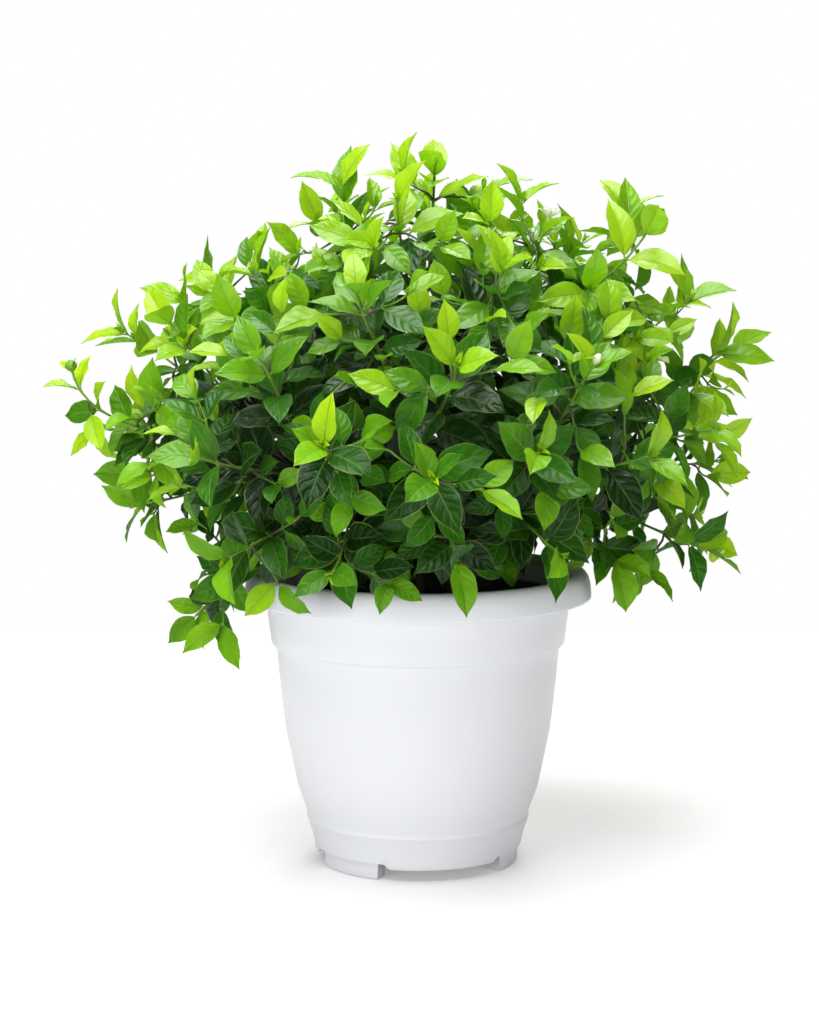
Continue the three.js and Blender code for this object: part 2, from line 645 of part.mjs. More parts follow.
// A four-sided twig with its leaves grown out of its sides, in one closed skin
function shootSolid(shoot) {
  const { route, pairs } = shoot;
  const twigRadius = (distance) => {
    const share = (distance - shoot.woodLength) / shoot.leafy;
    return TWIG_RADIUS + (TWIG_TIP_RADIUS - TWIG_RADIUS) * share;
  };
  const distances = [shoot.woodLength];
  for (let pair = pairs - 1; pair >= 0; pair -= 1) {
    const node = route.length - pairDistance(pair, shoot);
    distances.push(node - NODE_HALF_HEIGHT, node + NODE_HALF_HEIGHT);
  }
  const corner = shoot.clock + Math.PI / TWIG_SIDES;
  const points = distances.flatMap((distance) => (
    ringOf(route.station(distance, twigRadius(distance)), TWIG_SIDES, corner)));
  const faces = [[0, 2, 1], [0, 3, 2]];
  for (let ring = 0; ring + 1 < distances.length; ring += 1) {
    const pair = ring % 2 === 1 ? pairs - (ring + 1) / 2 : -1;
    for (let k = 0; k < TWIG_SIDES; k += 1) {
      const a = ring * TWIG_SIDES + k;
      const b = ring * TWIG_SIDES + ((k + 1) % TWIG_SIDES);
      const corners = [b, b + TWIG_SIDES, a + TWIG_SIDES, a];
      const leaf = shoot.leaves.find((one) => one.pair === pair
        && (pair + (one.hand > 0 ? 0 : 2) + 3) % TWIG_SIDES === k);
      if (leaf) addBlade(points, faces, leaf, corners);
      else faces.push([a, b, b + TWIG_SIDES], [a, b + TWIG_SIDES, a + TWIG_SIDES]);
    }
  }
  const last = (distances.length - 1) * TWIG_SIDES;
  points.push(route.place(route.length));
  for (let k = 0; k < TWIG_SIDES; k += 1) {
    faces.push([last + k, last + ((k + 1) % TWIG_SIDES), points.length - 1]);
  }
  const solid = toSolid(facesToGeometry(points, faces));
  if (!shoot.bud) return solid;
  const { x, y, z } = vec(shoot.tip);
  return solid.add(toSolid(new THREE.SphereGeometry(shoot.bud, BUD_BALL_SIDES, BUD_BALL_RINGS)
    .translate(x, y, z)));
}

function stemSolid(stem) {
  const { footPlace, route } = stem;
  const stations = [upright(footPlace.x, footPlace.y, SOIL_TOP - STEM_DEPTH, STEM_RADIUS),
    upright(footPlace.x, footPlace.y, footPlace.z, STEM_RADIUS)];
  for (const share of [0.35, 0.7, 1]) {
    stations.push(route.station(share * route.length, stemRadius(share)));
  }
  const wood = [toSolid(taperedTube(stations, STEM_SIDES))];
  for (const shoot of shoots.filter((one) => one.stem === stem)) {
    const end = shoot.woodLength - PIECE_GAP;
    const startRadius = BRANCH_THINNING * stemRadius(shoot.from);
    const branch = [0, 0.5, 1].map((share) => shoot.route.station(
      share * end, startRadius + (BRANCH_END_RADIUS - startRadius) * share));
    wood.push(toSolid(taperedTube(branch, BRANCH_SIDES)));
  }
  return joinAll(wood);
}

// A piece made upright at the origin, stood on the tip of a shoot
function onTip(geometry, shoot) {
  const { heading } = shoot.route.station(shoot.route.length, 0);
  const place = shoot.route.place(shoot.route.length).addScaledVector(heading, PIECE_GAP);
  const turn = new THREE.Quaternion().setFromUnitVectors(UP, heading);
  return geometry.applyQuaternion(turn).translate(place.x, place.y, place.z);
}

function openFlowerSolid(shoot) {
  const tube = taperedTube([upright(0, 0, 0, FLOWER_TUBE_RADIUS * 0.7),
    upright(0, 0, FLOWER_TUBE, FLOWER_TUBE_RADIUS)], FLOWER_SIDES);
  const parts = [toSolid(onTip(tube, shoot))];
  for (let k = 0; k < PETAL_COUNT; k += 1) {
    const rise = PETAL_RISE * (k % 2 === 0 ? 1 : 1.5);
    const across = PETAL_HALF_WIDTH;
    const half = PETAL_THICKNESS / 2;
    const outline = [[0, 0, -half], [0.5 * PETAL_LENGTH, across, 0], [0.5 * PETAL_LENGTH, -across, 0],
      [PETAL_LENGTH, 0, 0], [0.45 * PETAL_LENGTH, 0, half], [0.45 * PETAL_LENGTH, 0, -half]];
    const points = outline.map(vec);
    const faces = [[0, 4, 1], [1, 4, 3], [3, 4, 2], [2, 4, 0], [0, 1, 5], [1, 3, 5], [3, 2, 5], [2, 0, 5]];
    const petal = facesToGeometry(points, faces);
    petal.rotateY(-rise).rotateZ((2 * Math.PI * k) / PETAL_COUNT).translate(0, 0, FLOWER_TUBE - half);
    parts.push(toSolid(onTip(petal, shoot)));
  }
  return joinAll(parts);
}

function budSolid(shoot) {
  return toSolid(onTip(turned(BUD_PROFILE, FLOWER_SIDES), shoot));
}

// The pot and its soil

function potSolid() {
  const profile = [...POT_OUTSIDE, ...POT_LIP, ...POT_INSIDE, [0, FLOOR_TOP], [0, FLOOR_UNDER],
    [SKIRT_INSIDE, FLOOR_UNDER], POT_OUTSIDE[0]];
  let pot = toSolid(turned(profile, POT_SIDES));
  for (let k = 0; k < FOOT_COUNT; k += 1) {
    const angle = FIRST_FOOT + (2 * Math.PI * k) / FOOT_COUNT;
    const notch = arcBlock(NOTCH_INNER, NOTCH_OUTER, angle, NOTCH_WIDTH, SKIRT_BOTTOM - 2, FLOOR_UNDER);
    const foot = arcBlock(FOOT_INNER, FOOT_OUTER, angle, FOOT_WIDTH, 0, FLOOR_UNDER + FOOT_SINK);
    pot = pot.subtract(toSolid(notch)).add(toSolid(foot));
  }
  for (let k = 0; k < DRAIN_COUNT; k += 1) {
    const angle = (2 * Math.PI * k) / DRAIN_COUNT;
    const hole = new THREE.CylinderGeometry(DRAIN_RADIUS, DRAIN_RADIUS, 10, DRAIN_SIDES)
      .rotateX(Math.PI / 2)
      .translate(DRAIN_RING * Math.sin(angle), DRAIN_RING * Math.cos(angle), FLOOR_TOP - 1);
    pot = pot.subtract(toSolid(hole));
  }
  return pot;
}

function soilBump(x, y) {
  return 1.6 * Math.sin(x / 23 + 1) * Math.cos(y / 19) + 0.9 * Math.sin((x + y) / 11);
}

function soilSolid() {
  const side = POT_INSIDE.slice(1).reverse().map(([radius, height]) => [radius - FIT_GAP, height]);
  side[0][1] += FIT_GAP;
  side.at(-1)[1] = SOIL_EDGE;
  const rings = SOIL_RINGS.map((radius) => [radius, SOIL_TOP]);
  const profile = [[0, side[0][1]], ...side, ...rings, [0, SOIL_TOP]];
  const geometry = turned(profile, POT_SIDES);
  const position = geometry.attributes.position;
  for (let i = 0; i < position.count; i += 1) {
    if (position.getZ(i) > SOIL_TOP - 1) {
      position.setZ(i, SOIL_TOP + soilBump(position.getX(i), position.getY(i)));
    }
  }
  let soil = toSolid(geometry);
  for (const { footPlace: { x, y } } of stems) {
    const bottom = upright(x, y, SOIL_TOP - STEM_DEPTH - FIT_GAP, STEM_HOLE_RADIUS);
    const top = upright(x, y, SOIL_TOP + STEM_DEPTH, STEM_HOLE_RADIUS);
    soil = soil.subtract(toSolid(taperedTube([bottom, top], STEM_SIDES)));
  }
  return soil;
}

// The object

const plant = new THREE.Group();
plant.add(toMesh('pot', potSolid(), POT_WHITE));
plant.add(toMesh('soil', soilSolid(), SOIL_BROWN));
for (const stem of stems) plant.add(toMesh(`stem_${stem.name}`, stemSolid(stem), BARK));
for (const shoot of shoots) {
  const color = YOUNG_LEAF.clone().lerp(OLD_LEAF, shoot.age);
  const look = { color, roughness: LEAF_ROUGHNESS, metalness: 0 };
  plant.add(toMesh(`shoot_${shoot.name}`, shootSolid(shoot), look));
}
for (const shoot of shoots.filter((one) => one.flower)) {
  const solid = shoot.flower === 'open' ? openFlowerSolid(shoot) : budSolid(shoot);
  plant.add(toMesh(`flower_${shoot.flower}`, solid, PETAL_WHITE));
}

export default plant;
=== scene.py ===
# %% [markdown]
# # An Arabian jasmine in a white pot
#
# The object is a bushy house plant with its pot, about 0.7 m high. A fixed model already holds every
# piece at its real size: the pot, its soil, nine woody stems, 47 leafy shoots and two flowers. Its
# leaves are blades of a few flat faces. This lesson dresses that model. It grows the same leaves again
# as fine curved blades, fills the bush with the small twigs that stand between its main shoots, and
# gives every surface its own finish.
#
# Everything is worked out in millimetres, because that is how a leaf is measured, and turned into
# metres when a Blender mesh is made.

import json
import math

import bpy
import numpy as np
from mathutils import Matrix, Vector


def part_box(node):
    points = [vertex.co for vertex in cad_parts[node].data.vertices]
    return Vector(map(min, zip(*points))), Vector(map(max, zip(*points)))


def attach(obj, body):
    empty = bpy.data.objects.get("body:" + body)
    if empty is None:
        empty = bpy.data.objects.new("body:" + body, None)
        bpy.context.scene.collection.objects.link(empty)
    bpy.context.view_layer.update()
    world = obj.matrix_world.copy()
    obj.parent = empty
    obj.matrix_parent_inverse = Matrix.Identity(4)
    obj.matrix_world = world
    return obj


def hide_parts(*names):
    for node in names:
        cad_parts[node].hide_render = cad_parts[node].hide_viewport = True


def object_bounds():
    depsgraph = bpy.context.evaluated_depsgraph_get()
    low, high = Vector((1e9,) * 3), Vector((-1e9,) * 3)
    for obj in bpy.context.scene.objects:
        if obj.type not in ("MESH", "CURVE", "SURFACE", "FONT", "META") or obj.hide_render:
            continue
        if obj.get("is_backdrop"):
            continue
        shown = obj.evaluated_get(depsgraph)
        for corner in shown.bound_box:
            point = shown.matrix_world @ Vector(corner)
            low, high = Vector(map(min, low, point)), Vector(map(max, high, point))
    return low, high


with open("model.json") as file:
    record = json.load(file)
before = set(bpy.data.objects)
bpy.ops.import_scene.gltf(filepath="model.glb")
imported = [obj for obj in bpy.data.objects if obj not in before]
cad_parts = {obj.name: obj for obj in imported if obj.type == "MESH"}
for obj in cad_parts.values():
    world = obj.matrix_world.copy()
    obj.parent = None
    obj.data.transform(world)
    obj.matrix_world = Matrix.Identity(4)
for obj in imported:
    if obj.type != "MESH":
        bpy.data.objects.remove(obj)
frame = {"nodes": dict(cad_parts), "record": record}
CAD_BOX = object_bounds()
METRES = 0.001
print("pieces in the fixed model:", len(frame["nodes"]))
print("its box in metres:", [round(value, 3) for corner in CAD_BOX for value in corner])

# %% [markdown]
# ## Directions and drawn numbers
#
# A plant is grown by a rule: a few numbers say where each stem and shoot starts and ends, and small
# drawn numbers make every leaf a little different. The draws come from a short sum with a seed, so the
# same plant grows each time, and it is the same plant as the fixed model. A library's random numbers
# would do as well, but then the rule could not be repeated exactly anywhere else.

# %% Directions
UP = np.array([0.0, 0.0, 1.0])
FRONT = np.array([0.0, -1.0, 0.0])
TO_THE_RIGHT = np.array([1.0, 0.0, 0.0])


def vec(*numbers):
    return np.array(numbers, float)


def unit(direction):
    return direction / math.sqrt(direction @ direction)


def square(direction, heading):
    """The part of a direction that stands square to a heading, at unit length."""
    return unit(direction - heading * (direction @ heading))


def around(heading, side, other, clock, spread):
    """A direction that leans out from a heading by an angle, and the direction its upper face looks."""
    outward = side * math.cos(clock) + other * math.sin(clock)
    ahead = unit(heading * math.cos(spread) + outward * math.sin(spread))
    return ahead, square(heading - outward * 0.6, ahead)


def blend(low, high, share):
    return low + (high - low) * share


def clamp(value, low=0.0, high=1.0):
    return max(low, min(high, value))


# %% Drawn numbers
DRAW_MODULUS = 2147483647
DRAW_MULTIPLIER = 48271


def draws(seed):
    """A function that draws numbers between two limits, always the same ones for the same seed."""
    state = (seed * 7919 + 104729) % DRAW_MODULUS

    def draw(low, high):
        nonlocal state
        state = state * DRAW_MULTIPLIER % DRAW_MODULUS
        return low + (high - low) * state / DRAW_MODULUS

    draw(0, 1)
    return draw


print("three drawn numbers:", [round(draws(seed)(0, 1), 3) for seed in (1, 2, 3)])

# %% [markdown]
# ## The way a twig grows
#
# A twig leaves its branch in one direction and turns to the light by the time it ends. A cubic curve
# between two places with a direction at each end does just that. Blender's own curve objects could
# hold it, but here the curve is also asked for the heading and the side at any distance, because
# leaves stand on it. The side direction is carried along step by step, so it never spins about the
# twig.

# %% Routes
ROUTE_STEPS = 40
HEADING_REACH = 2


class Route:
    """A curved way through space, measured along its length in millimetres."""

    def __init__(self, start, start_heading, end, end_heading, start_pull, end_pull):
        span = math.sqrt((end - start) @ (end - start))
        second = start + start_heading * (start_pull * span)
        third = end - end_heading * (end_pull * span)
        u = np.linspace(0, 1, ROUTE_STEPS + 1)[:, None]
        v = 1 - u
        self.points = start * v**3 + second * (3 * v * v * u) + third * (3 * v * u * u) + end * u**3
        steps = np.diff(self.points, axis=0)
        lengths = np.sqrt((steps**2).sum(1))
        self.reach = np.concatenate([[0], np.cumsum(lengths)])
        self.length = self.reach[-1]
        self.sides = [square(TO_THE_RIGHT, start_heading)]
        for step, length in zip(steps, lengths):
            self.sides.append(square(self.sides[-1], step / length))

    def spot(self, distance):
        i = min(1 + int(np.searchsorted(self.reach[1:], distance)), ROUTE_STEPS)
        return i, (distance - self.reach[i - 1]) / (self.reach[i] - self.reach[i - 1])

    def place(self, distance):
        i, share = self.spot(distance)
        return blend(self.points[i - 1], self.points[i], share)

    def heading(self, distance):
        near = max(distance - HEADING_REACH, 0)
        far = min(distance + HEADING_REACH, self.length)
        return unit(self.place(far) - self.place(near))

    def station(self, distance):
        """The place, the heading, the side and the direction square to both."""
        i, share = self.spot(distance)
        heading = self.heading(distance)
        side = square(blend(self.sides[i - 1], self.sides[i], share), heading)
        return self.place(distance), heading, side, np.cross(heading, side)


# %% [markdown]
# ## The stems and their shoots
#
# A nursery plants several cuttings together, so the bush has nine stems: one in the middle and eight
# round it, which lean outwards. Each carries shoots, and each shoot ends in a stretch with leaves in
# opposite pairs. The places below are the ones of the fixed model, so the fine pieces lie on its
# pieces. Reading the places back from its mesh would give points without directions, and a leaf needs
# both.

# %% Sizes of the wood
SOIL_TOP = 262
STEM_DEPTH = 60
STEM_STRAIGHT = 8
STEM_RADIUS = 4.6
STEM_END_RADIUS = 2.4
BRANCH_THINNING = 0.7
BRANCH_END_RADIUS = 1.6
TWIG_RADIUS = 1.5
TWIG_TIP_RADIUS = 1.0


# %% Places of the stems and shoots
def shoot_plan(name, share, tip, heading, leafy, pairs, size, age, **more):
    """A shoot leaves its stem a share of the way up and reaches its tip on a heading."""
    plan = dict(name=name, share=share, tip=vec(*tip), heading=unit(vec(*heading)), leafy=leafy)
    return {**plan, "pairs": pairs, "size": size, "age": age, "tip_size": 1, "flower": "", **more}


def stem_plan(name, foot, end, heading, shoots):
    return dict(name=name, foot=vec(*foot, SOIL_TOP + STEM_STRAIGHT), end=vec(*end),
                heading=unit(vec(*heading)), shoots=[shoot_plan(*row[:8], **row[8]) for row in shoots])


PLAIN = {}
STEM_PLANS = [
    stem_plan("left", (-30, -6), (-128, -8, 392), (-0.75, 0, 0.66), [
        ("far_left", 0.9, (-325, -60, 486), (-0.15, -0.05, 1), 200, 7, 0.74, 0.5,
         {"tip_size": 0.4, "flower": "green"}),
        ("left_high", 0.95, (-274, 46, 506), (-0.84, 0.12, 0.53), 135, 5, 0.95, 0.45, PLAIN),
        ("left_raised", 0.8, (-233, -52, 527), (-0.6, -0.1, 0.79), 125, 5, 1, 0.35, PLAIN),
        ("left_low", 0.7, (-271, 36, 345), (-0.98, 0.1, -0.12), 130, 5, 0.9, 0.6, PLAIN),
        ("left_hanging", 0.45, (-206, -34, 250), (-0.68, -0.14, -0.7), 125, 5, 0.95, 0.6, PLAIN),
    ]),
    stem_plan("front_left", (-26, -34), (-92, -112, 392), (-0.5, -0.55, 0.67), [
        ("front_left_high", 0.95, (-140, -222, 505), (-0.4, -0.52, 0.75), 125, 5, 1, 0.2, PLAIN),
        ("front_left_mid", 0.75, (-195, -205, 415), (-0.66, -0.66, 0.35), 125, 5, 1, 0.45, PLAIN),
        ("front_left_inner", 0.85, (-82, -272, 432), (-0.25, -0.9, 0.36), 120, 4, 1, 0.5, PLAIN),
        ("front_left_low", 0.5, (-170, -205, 325), (-0.68, -0.68, -0.26), 140, 5, 1.1, 0.6, PLAIN),
        ("front_left_hem", 0.45, (-76, -236, 316), (-0.3, -0.85, -0.42), 150, 5, 1, 0.65, PLAIN),
    ]),
    stem_plan("front", (2, -44), (4, -128, 410), (0.02, -0.6, 0.8), [
        ("front_top", 1, (-55, -205, 560), (-0.2, -0.45, 0.87), 125, 5, 0.95, 0.1, PLAIN),
        ("front_high", 0.9, (32, -262, 500), (0.1, -0.75, 0.65), 125, 5, 1, 0.3, PLAIN),
        ("front_mid", 0.75, (12, -288, 405), (0, -0.97, 0.25), 115, 4, 1, 0.5, PLAIN),
        ("front_hem", 0.5, (34, -236, 326), (0.1, -0.9, -0.42), 150, 5, 1, 0.45, PLAIN),
    ]),
    stem_plan("front_right", (30, -30), (98, -108, 395), (0.5, -0.55, 0.67), [
        ("front_right_high", 0.95, (152, -222, 497), (0.4, -0.5, 0.77), 120, 5, 0.95, 0.2,
         {"flower": "bud"}),
        ("front_right_inner", 0.85, (104, -258, 425), (0.3, -0.85, 0.43), 120, 4, 1, 0.4, PLAIN),
        ("front_right_mid", 0.75, (205, -195, 415), (0.7, -0.62, 0.35), 125, 5, 1, 0.45, PLAIN),
        ("front_right_low", 0.5, (125, -215, 330), (0.5, -0.8, -0.3), 140, 5, 1, 0.6, PLAIN),
    ]),
    stem_plan("right", (36, 2), (132, -4, 392), (0.75, 0, 0.66), [
        ("far_right", 0.95, (309, 42, 498), (0.86, 0.08, 0.5), 140, 5, 0.95, 0.3, PLAIN),
        ("right_front", 0.85, (272, -105, 432), (0.86, -0.4, 0.32), 125, 5, 0.95, 0.4, PLAIN),
        ("right_mid", 0.75, (300, 72, 384), (0.97, 0.15, 0.18), 130, 5, 0.95, 0.45, PLAIN),
        ("right_low", 0.55, (282, -25, 306), (0.95, -0.1, -0.28), 130, 5, 0.9, 0.5, PLAIN),
        ("right_hanging", 0.45, (186, -76, 302), (0.72, -0.34, -0.6), 100, 4, 1.05, 0.6, PLAIN),
    ]),
    stem_plan("back_right", (26, 32), (96, 104, 400), (0.5, 0.55, 0.67), [
        ("right_raised", 0.95, (258, 66, 540), (0.7, 0.2, 0.68), 130, 5, 1, 0.25, PLAIN),
        ("back_right_high", 0.9, (168, 205, 500), (0.45, 0.55, 0.7), 125, 5, 1, 0.3, PLAIN),
        ("back_right_mid", 0.75, (222, 192, 405), (0.72, 0.62, 0.3), 125, 5, 1, 0.45, PLAIN),
        ("back_right_inner", 0.7, (108, 268, 420), (0.35, 0.88, 0.33), 120, 4, 1, 0.5, PLAIN),
        ("back_right_low", 0.5, (172, 210, 320), (0.66, 0.7, -0.27), 140, 5, 1, 0.6, PLAIN),
    ]),
    stem_plan("back", (-4, 44), (-2, 126, 408), (0, 0.6, 0.8), [
        ("back_top", 1, (48, 200, 560), (0.15, 0.5, 0.85), 125, 5, 1, 0.2, PLAIN),
        ("back_high", 0.9, (-42, 262, 490), (-0.1, 0.78, 0.62), 125, 5, 1, 0.35, PLAIN),
        ("back_mid", 0.75, (5, 296, 398), (0, 0.98, 0.2), 120, 4, 1, 0.5, PLAIN),
        ("back_low", 0.5, (-28, 245, 315), (-0.1, 0.88, -0.45), 140, 5, 1, 0.6, PLAIN),
    ]),
    stem_plan("back_left", (-32, 26), (-104, 92, 400), (-0.55, 0.5, 0.67), [
        ("left_top", 0.95, (-202, 64, 562), (-0.55, 0.2, 0.81), 125, 5, 1, 0.2, PLAIN),
        ("back_left_high", 0.9, (-142, 212, 505), (-0.4, 0.6, 0.7), 125, 5, 1, 0.3, PLAIN),
        ("back_left_mid", 0.8, (-222, 178, 430), (-0.72, 0.6, 0.35), 125, 5, 1, 0.45, PLAIN),
        ("back_left_inner", 0.7, (-112, 262, 385), (-0.4, 0.9, 0.18), 115, 4, 1, 0.5, PLAIN),
        ("back_left_low", 0.5, (-205, 180, 318), (-0.74, 0.62, -0.26), 140, 5, 1, 0.6, PLAIN),
    ]),
    stem_plan("middle", (0, 0), (6, -4, 470), (0, 0, 1), [
        ("crown", 1, (16, 6, 665), (0.05, 0, 1), 140, 5, 1, 0, PLAIN),
        ("crown_front", 0.9, (-20, -92, 640), (-0.05, -0.35, 0.93), 130, 4, 0.95, 0.05, PLAIN),
        ("crown_left", 0.82, (-78, 18, 630), (-0.3, 0.05, 0.95), 130, 4, 1.15, 0.1, PLAIN),
        ("crown_right", 0.86, (118, -45, 612), (0.3, -0.1, 0.95), 130, 4, 0.95, 0.05,
         {"flower": "open"}),
        ("shoulder_left", 0.66, (-154, -48, 572), (-0.5, -0.15, 0.85), 130, 4, 1, 0.15, PLAIN),
        ("shoulder_right", 0.7, (212, -62, 610), (0.5, -0.2, 0.84), 130, 4, 1.05, 0.1, PLAIN),
        ("shoulder_front", 0.74, (74, -172, 580), (0.2, -0.45, 0.87), 125, 4, 1, 0.1, PLAIN),
        ("crown_back", 0.78, (58, 96, 628), (0.15, 0.4, 0.9), 130, 4, 1, 0.1, PLAIN),
        ("shoulder_back", 0.58, (-72, 140, 590), (-0.3, 0.45, 0.84), 125, 4, 1, 0.2, PLAIN),
        ("shoulder_back_right", 0.62, (164, 96, 600), (0.5, 0.25, 0.83), 130, 4, 1, 0.15, PLAIN),
    ]),
]


# %% Grow the routes
class Grown:
    """A stem, a shoot or a side twig: its plan, its route, and what grows on it."""

    def __init__(self, plan, route, number, carrier=None):
        self.__dict__.update(plan)
        self.route = route
        self.number = number
        self.carrier = carrier
        self.leaves = []
        self.wood_length = route.length - plan.get("leafy", 0)


def grow_stem(plan, number):
    route = Route(plan["foot"], UP, plan["end"], plan["heading"], 0.35, 0.35)
    return Grown(plan, route, number)


def grow_shoot(stem, plan, number):
    distance = plan["share"] * stem.route.length
    start = stem.route.place(distance)
    start_heading = stem.route.heading(distance)
    route = Route(start, start_heading, plan["tip"], plan["heading"], 0.3, 0.35)
    shoot = Grown(plan, route, number, stem)
    shoot.clock = draws(number)(0, math.pi)
    return shoot


stems = [grow_stem(plan, -1 - index) for index, plan in enumerate(STEM_PLANS)]
shoot_rows = [(stem, plan) for stem, plans in zip(stems, STEM_PLANS) for plan in plans["shoots"]]
shoots = [grow_shoot(stem, plan, index + 1) for index, (stem, plan) in enumerate(shoot_rows)]
print("stems:", len(stems), "shoots:", len(shoots))

# %% [markdown]
# ## The shape of a leaf
#
# A jasmine leaf is oval with a drawn-out point. It is folded a little along its midrib, arches down
# towards its point, twists, and has a gently waved edge. One formula gives any place on it from two
# numbers: how far along, and how far across. Sculpting one leaf and copying it would be quicker, but
# then every leaf would show the same fold.

# %% A place on the blade
LEAF_STALK = 4


def half_width(t):
    """Half the width of a blade as a share of its length."""
    return 0.3 * np.sin(np.pi * np.power(t, 0.82)) * (1 - 0.4 * t**3)


def blade_point(leaf, t, side, width=None):
    """Places on the blade. t runs from its root to its point, side from -1 to 1 across it."""
    turn = leaf["bend"] * t
    ahead = LEAF_STALK + leaf["length"] * np.sin(turn) / leaf["bend"]
    down = leaf["length"] * (1 - np.cos(turn)) / leaf["bend"]
    if width is None:
        width = leaf["length"] * leaf["breadth"] * half_width(t)
    wave = leaf["wave"] * np.sin(11 * t + leaf["phase"] + 1.3 * side) * np.abs(side)
    rise = width * (np.abs(side) * math.sin(leaf["fold"]) + wave)
    across = side * width * math.cos(leaf["fold"])
    roll = leaf["twist"] * t
    sideways = across * np.cos(roll) - rise * np.sin(roll)
    lift = rise * np.cos(roll) + across * np.sin(roll)
    return (leaf["root"]
            + leaf["ahead"] * (ahead + lift * np.sin(turn))[..., None]
            + leaf["up"] * (lift * np.cos(turn) - down)[..., None]
            + leaf["across"] * sideways[..., None])


# %% [markdown]
# ## Keeping leaves apart
#
# Leaves push one another aside as they grow, and so they hardly ever cross. Here each blade is filled
# with sixteen small balls, and a new leaf is kept only where its balls are clear of all the others. It
# tries a few poses before it gives up. A physics simulation would give the same result slowly; balls
# are enough for a thing as flat as a leaf.

# %% The space that is taken
NEAR = 62
MOST_BALLS = 90000
MIDDLE_BALL = 7


class TakenSpace:
    """The balls of everything that has grown so far."""

    def __init__(self):
        self.places = np.zeros((MOST_BALLS, 3))
        self.radii = np.zeros(MOST_BALLS)
        self.owners = np.zeros(MOST_BALLS, int)
        self.wood = np.zeros(MOST_BALLS, bool)
        self.count = 0

    def add(self, places, radii, owner, wood=False):
        rows = slice(self.count, self.count + len(places))
        self.places[rows] = places
        self.radii[rows] = radii
        self.owners[rows] = owner
        self.wood[rows] = wood
        self.count += len(places)

    def is_clear(self, places, radii, near_twig, owner, clearance):
        apart = ((self.places[:self.count] - places[MIDDLE_BALL])**2).sum(1)
        near = np.nonzero(apart < NEAR * NEAR)[0]
        gap = radii[:, None] + self.radii[near] + clearance
        apart = ((places[:, None] - self.places[near])**2).sum(2)
        own_wood = self.wood[near] & (self.owners[near] == owner)
        return not ((apart < gap * gap) & ~(near_twig[:, None] & own_wood)).any()


# %% Balls along leaves and wood
RIM_CREST = 285.5
RIM_RADIUS = 168
POT_THROAT = 144.8
BALL_STATIONS = np.array([0.16, 0.36, 0.56, 0.76, 0.92])
BALL_SIDES = np.array([-0.6, 0, 0.6])
BALL_SHARE = 0.45
TIP_BALL = 0.5
NEAR_TWIG = 0.3
BALL_STEP = 7


def inside_pot(places, radii):
    out = np.sqrt(places[:, 0]**2 + places[:, 1]**2)
    margin = radii + 1
    beyond = (places[:, 2] > RIM_CREST + margin) | (out > RIM_RADIUS + margin)
    return (~beyond & ((out > POT_THROAT - margin) | (places[:, 2] < SOIL_TOP + 2 + margin))).any()


def blade_balls(leaf, share=BALL_SHARE):
    """Places and radii of a blade's balls, and which of them lie near its own twig."""
    t, side = np.meshgrid(BALL_STATIONS, BALL_SIDES, indexing="ij")
    width = leaf["length"] * leaf["breadth"] * half_width(t)
    places = blade_point(leaf, t, side).reshape(-1, 3)
    tip = blade_point(leaf, np.array([1.0]), np.array([0.0]))
    radii = np.append((share * width).ravel(), TIP_BALL)
    near_twig = np.append((t < NEAR_TWIG).ravel(), False)
    return np.concatenate([places, tip]), radii, near_twig


def add_route(taken, route, start, end, radius, owner):
    places = [route.place(distance) for distance in np.arange(start, end + 1e-9, BALL_STEP)]
    if places:
        taken.add(np.array(places), radius, owner, wood=True)


# %% [markdown]
# ## One leaf in one pose
#
# Leaves stand in opposite pairs, each pair a quarter turn from the last, so that they shade one another
# least. The youngest pair, at the tip, points forward; older pairs open outwards. The upper face turns
# to the light, which comes from above and from outside the bush.

# %% Numbers of the leafy stretch
LEAF_LENGTH = 52
LAST_PAIR = 5
BARE_START = 8
PAIR_SPACING = [17, 23, 27, 29, 30, 31, 32]
PAIR_SIZE = [0.86, 0.96, 1, 1.02, 1, 0.96, 0.92, 0.9]
PAIR_SPREAD = [0.62, 0.85, 1, 1.08, 1.12, 1.15, 1.15, 1.15]
HEART = vec(0, 0, 380)
TIP_LIFT = 0.12
LIGHT_OUT = 0.9
LIGHT_UP = 0.6
LIGHT_FRONT = 0.8
FRONT_FULL_AT = 260
FRONT_NONE_AT = 150
LOOSE = 0.18
LOOSER_EACH_TRY = 0.09
SHORTER_EACH_TRY = 0.03
POSES_TRIED = 9
CLEARANCE = 0.7


def pair_distance(shoot, pair):
    """How far behind the tip a pair of leaves stands."""
    stretch = shoot.leafy / (LAST_PAIR + sum(PAIR_SPACING[:shoot.pairs - 1]) + BARE_START)
    return LAST_PAIR + stretch * sum(PAIR_SPACING[:pair])


# %% Pose a leaf
def window_share(place):
    """How much a leaf turns to the window in front: 1 at the outline as seen from there, 0 at the back."""
    out = math.hypot(place[0], place[2] - HEART[2]) / FRONT_FULL_AT
    return clamp(out) * clamp(1 - place[1] / FRONT_NONE_AT)


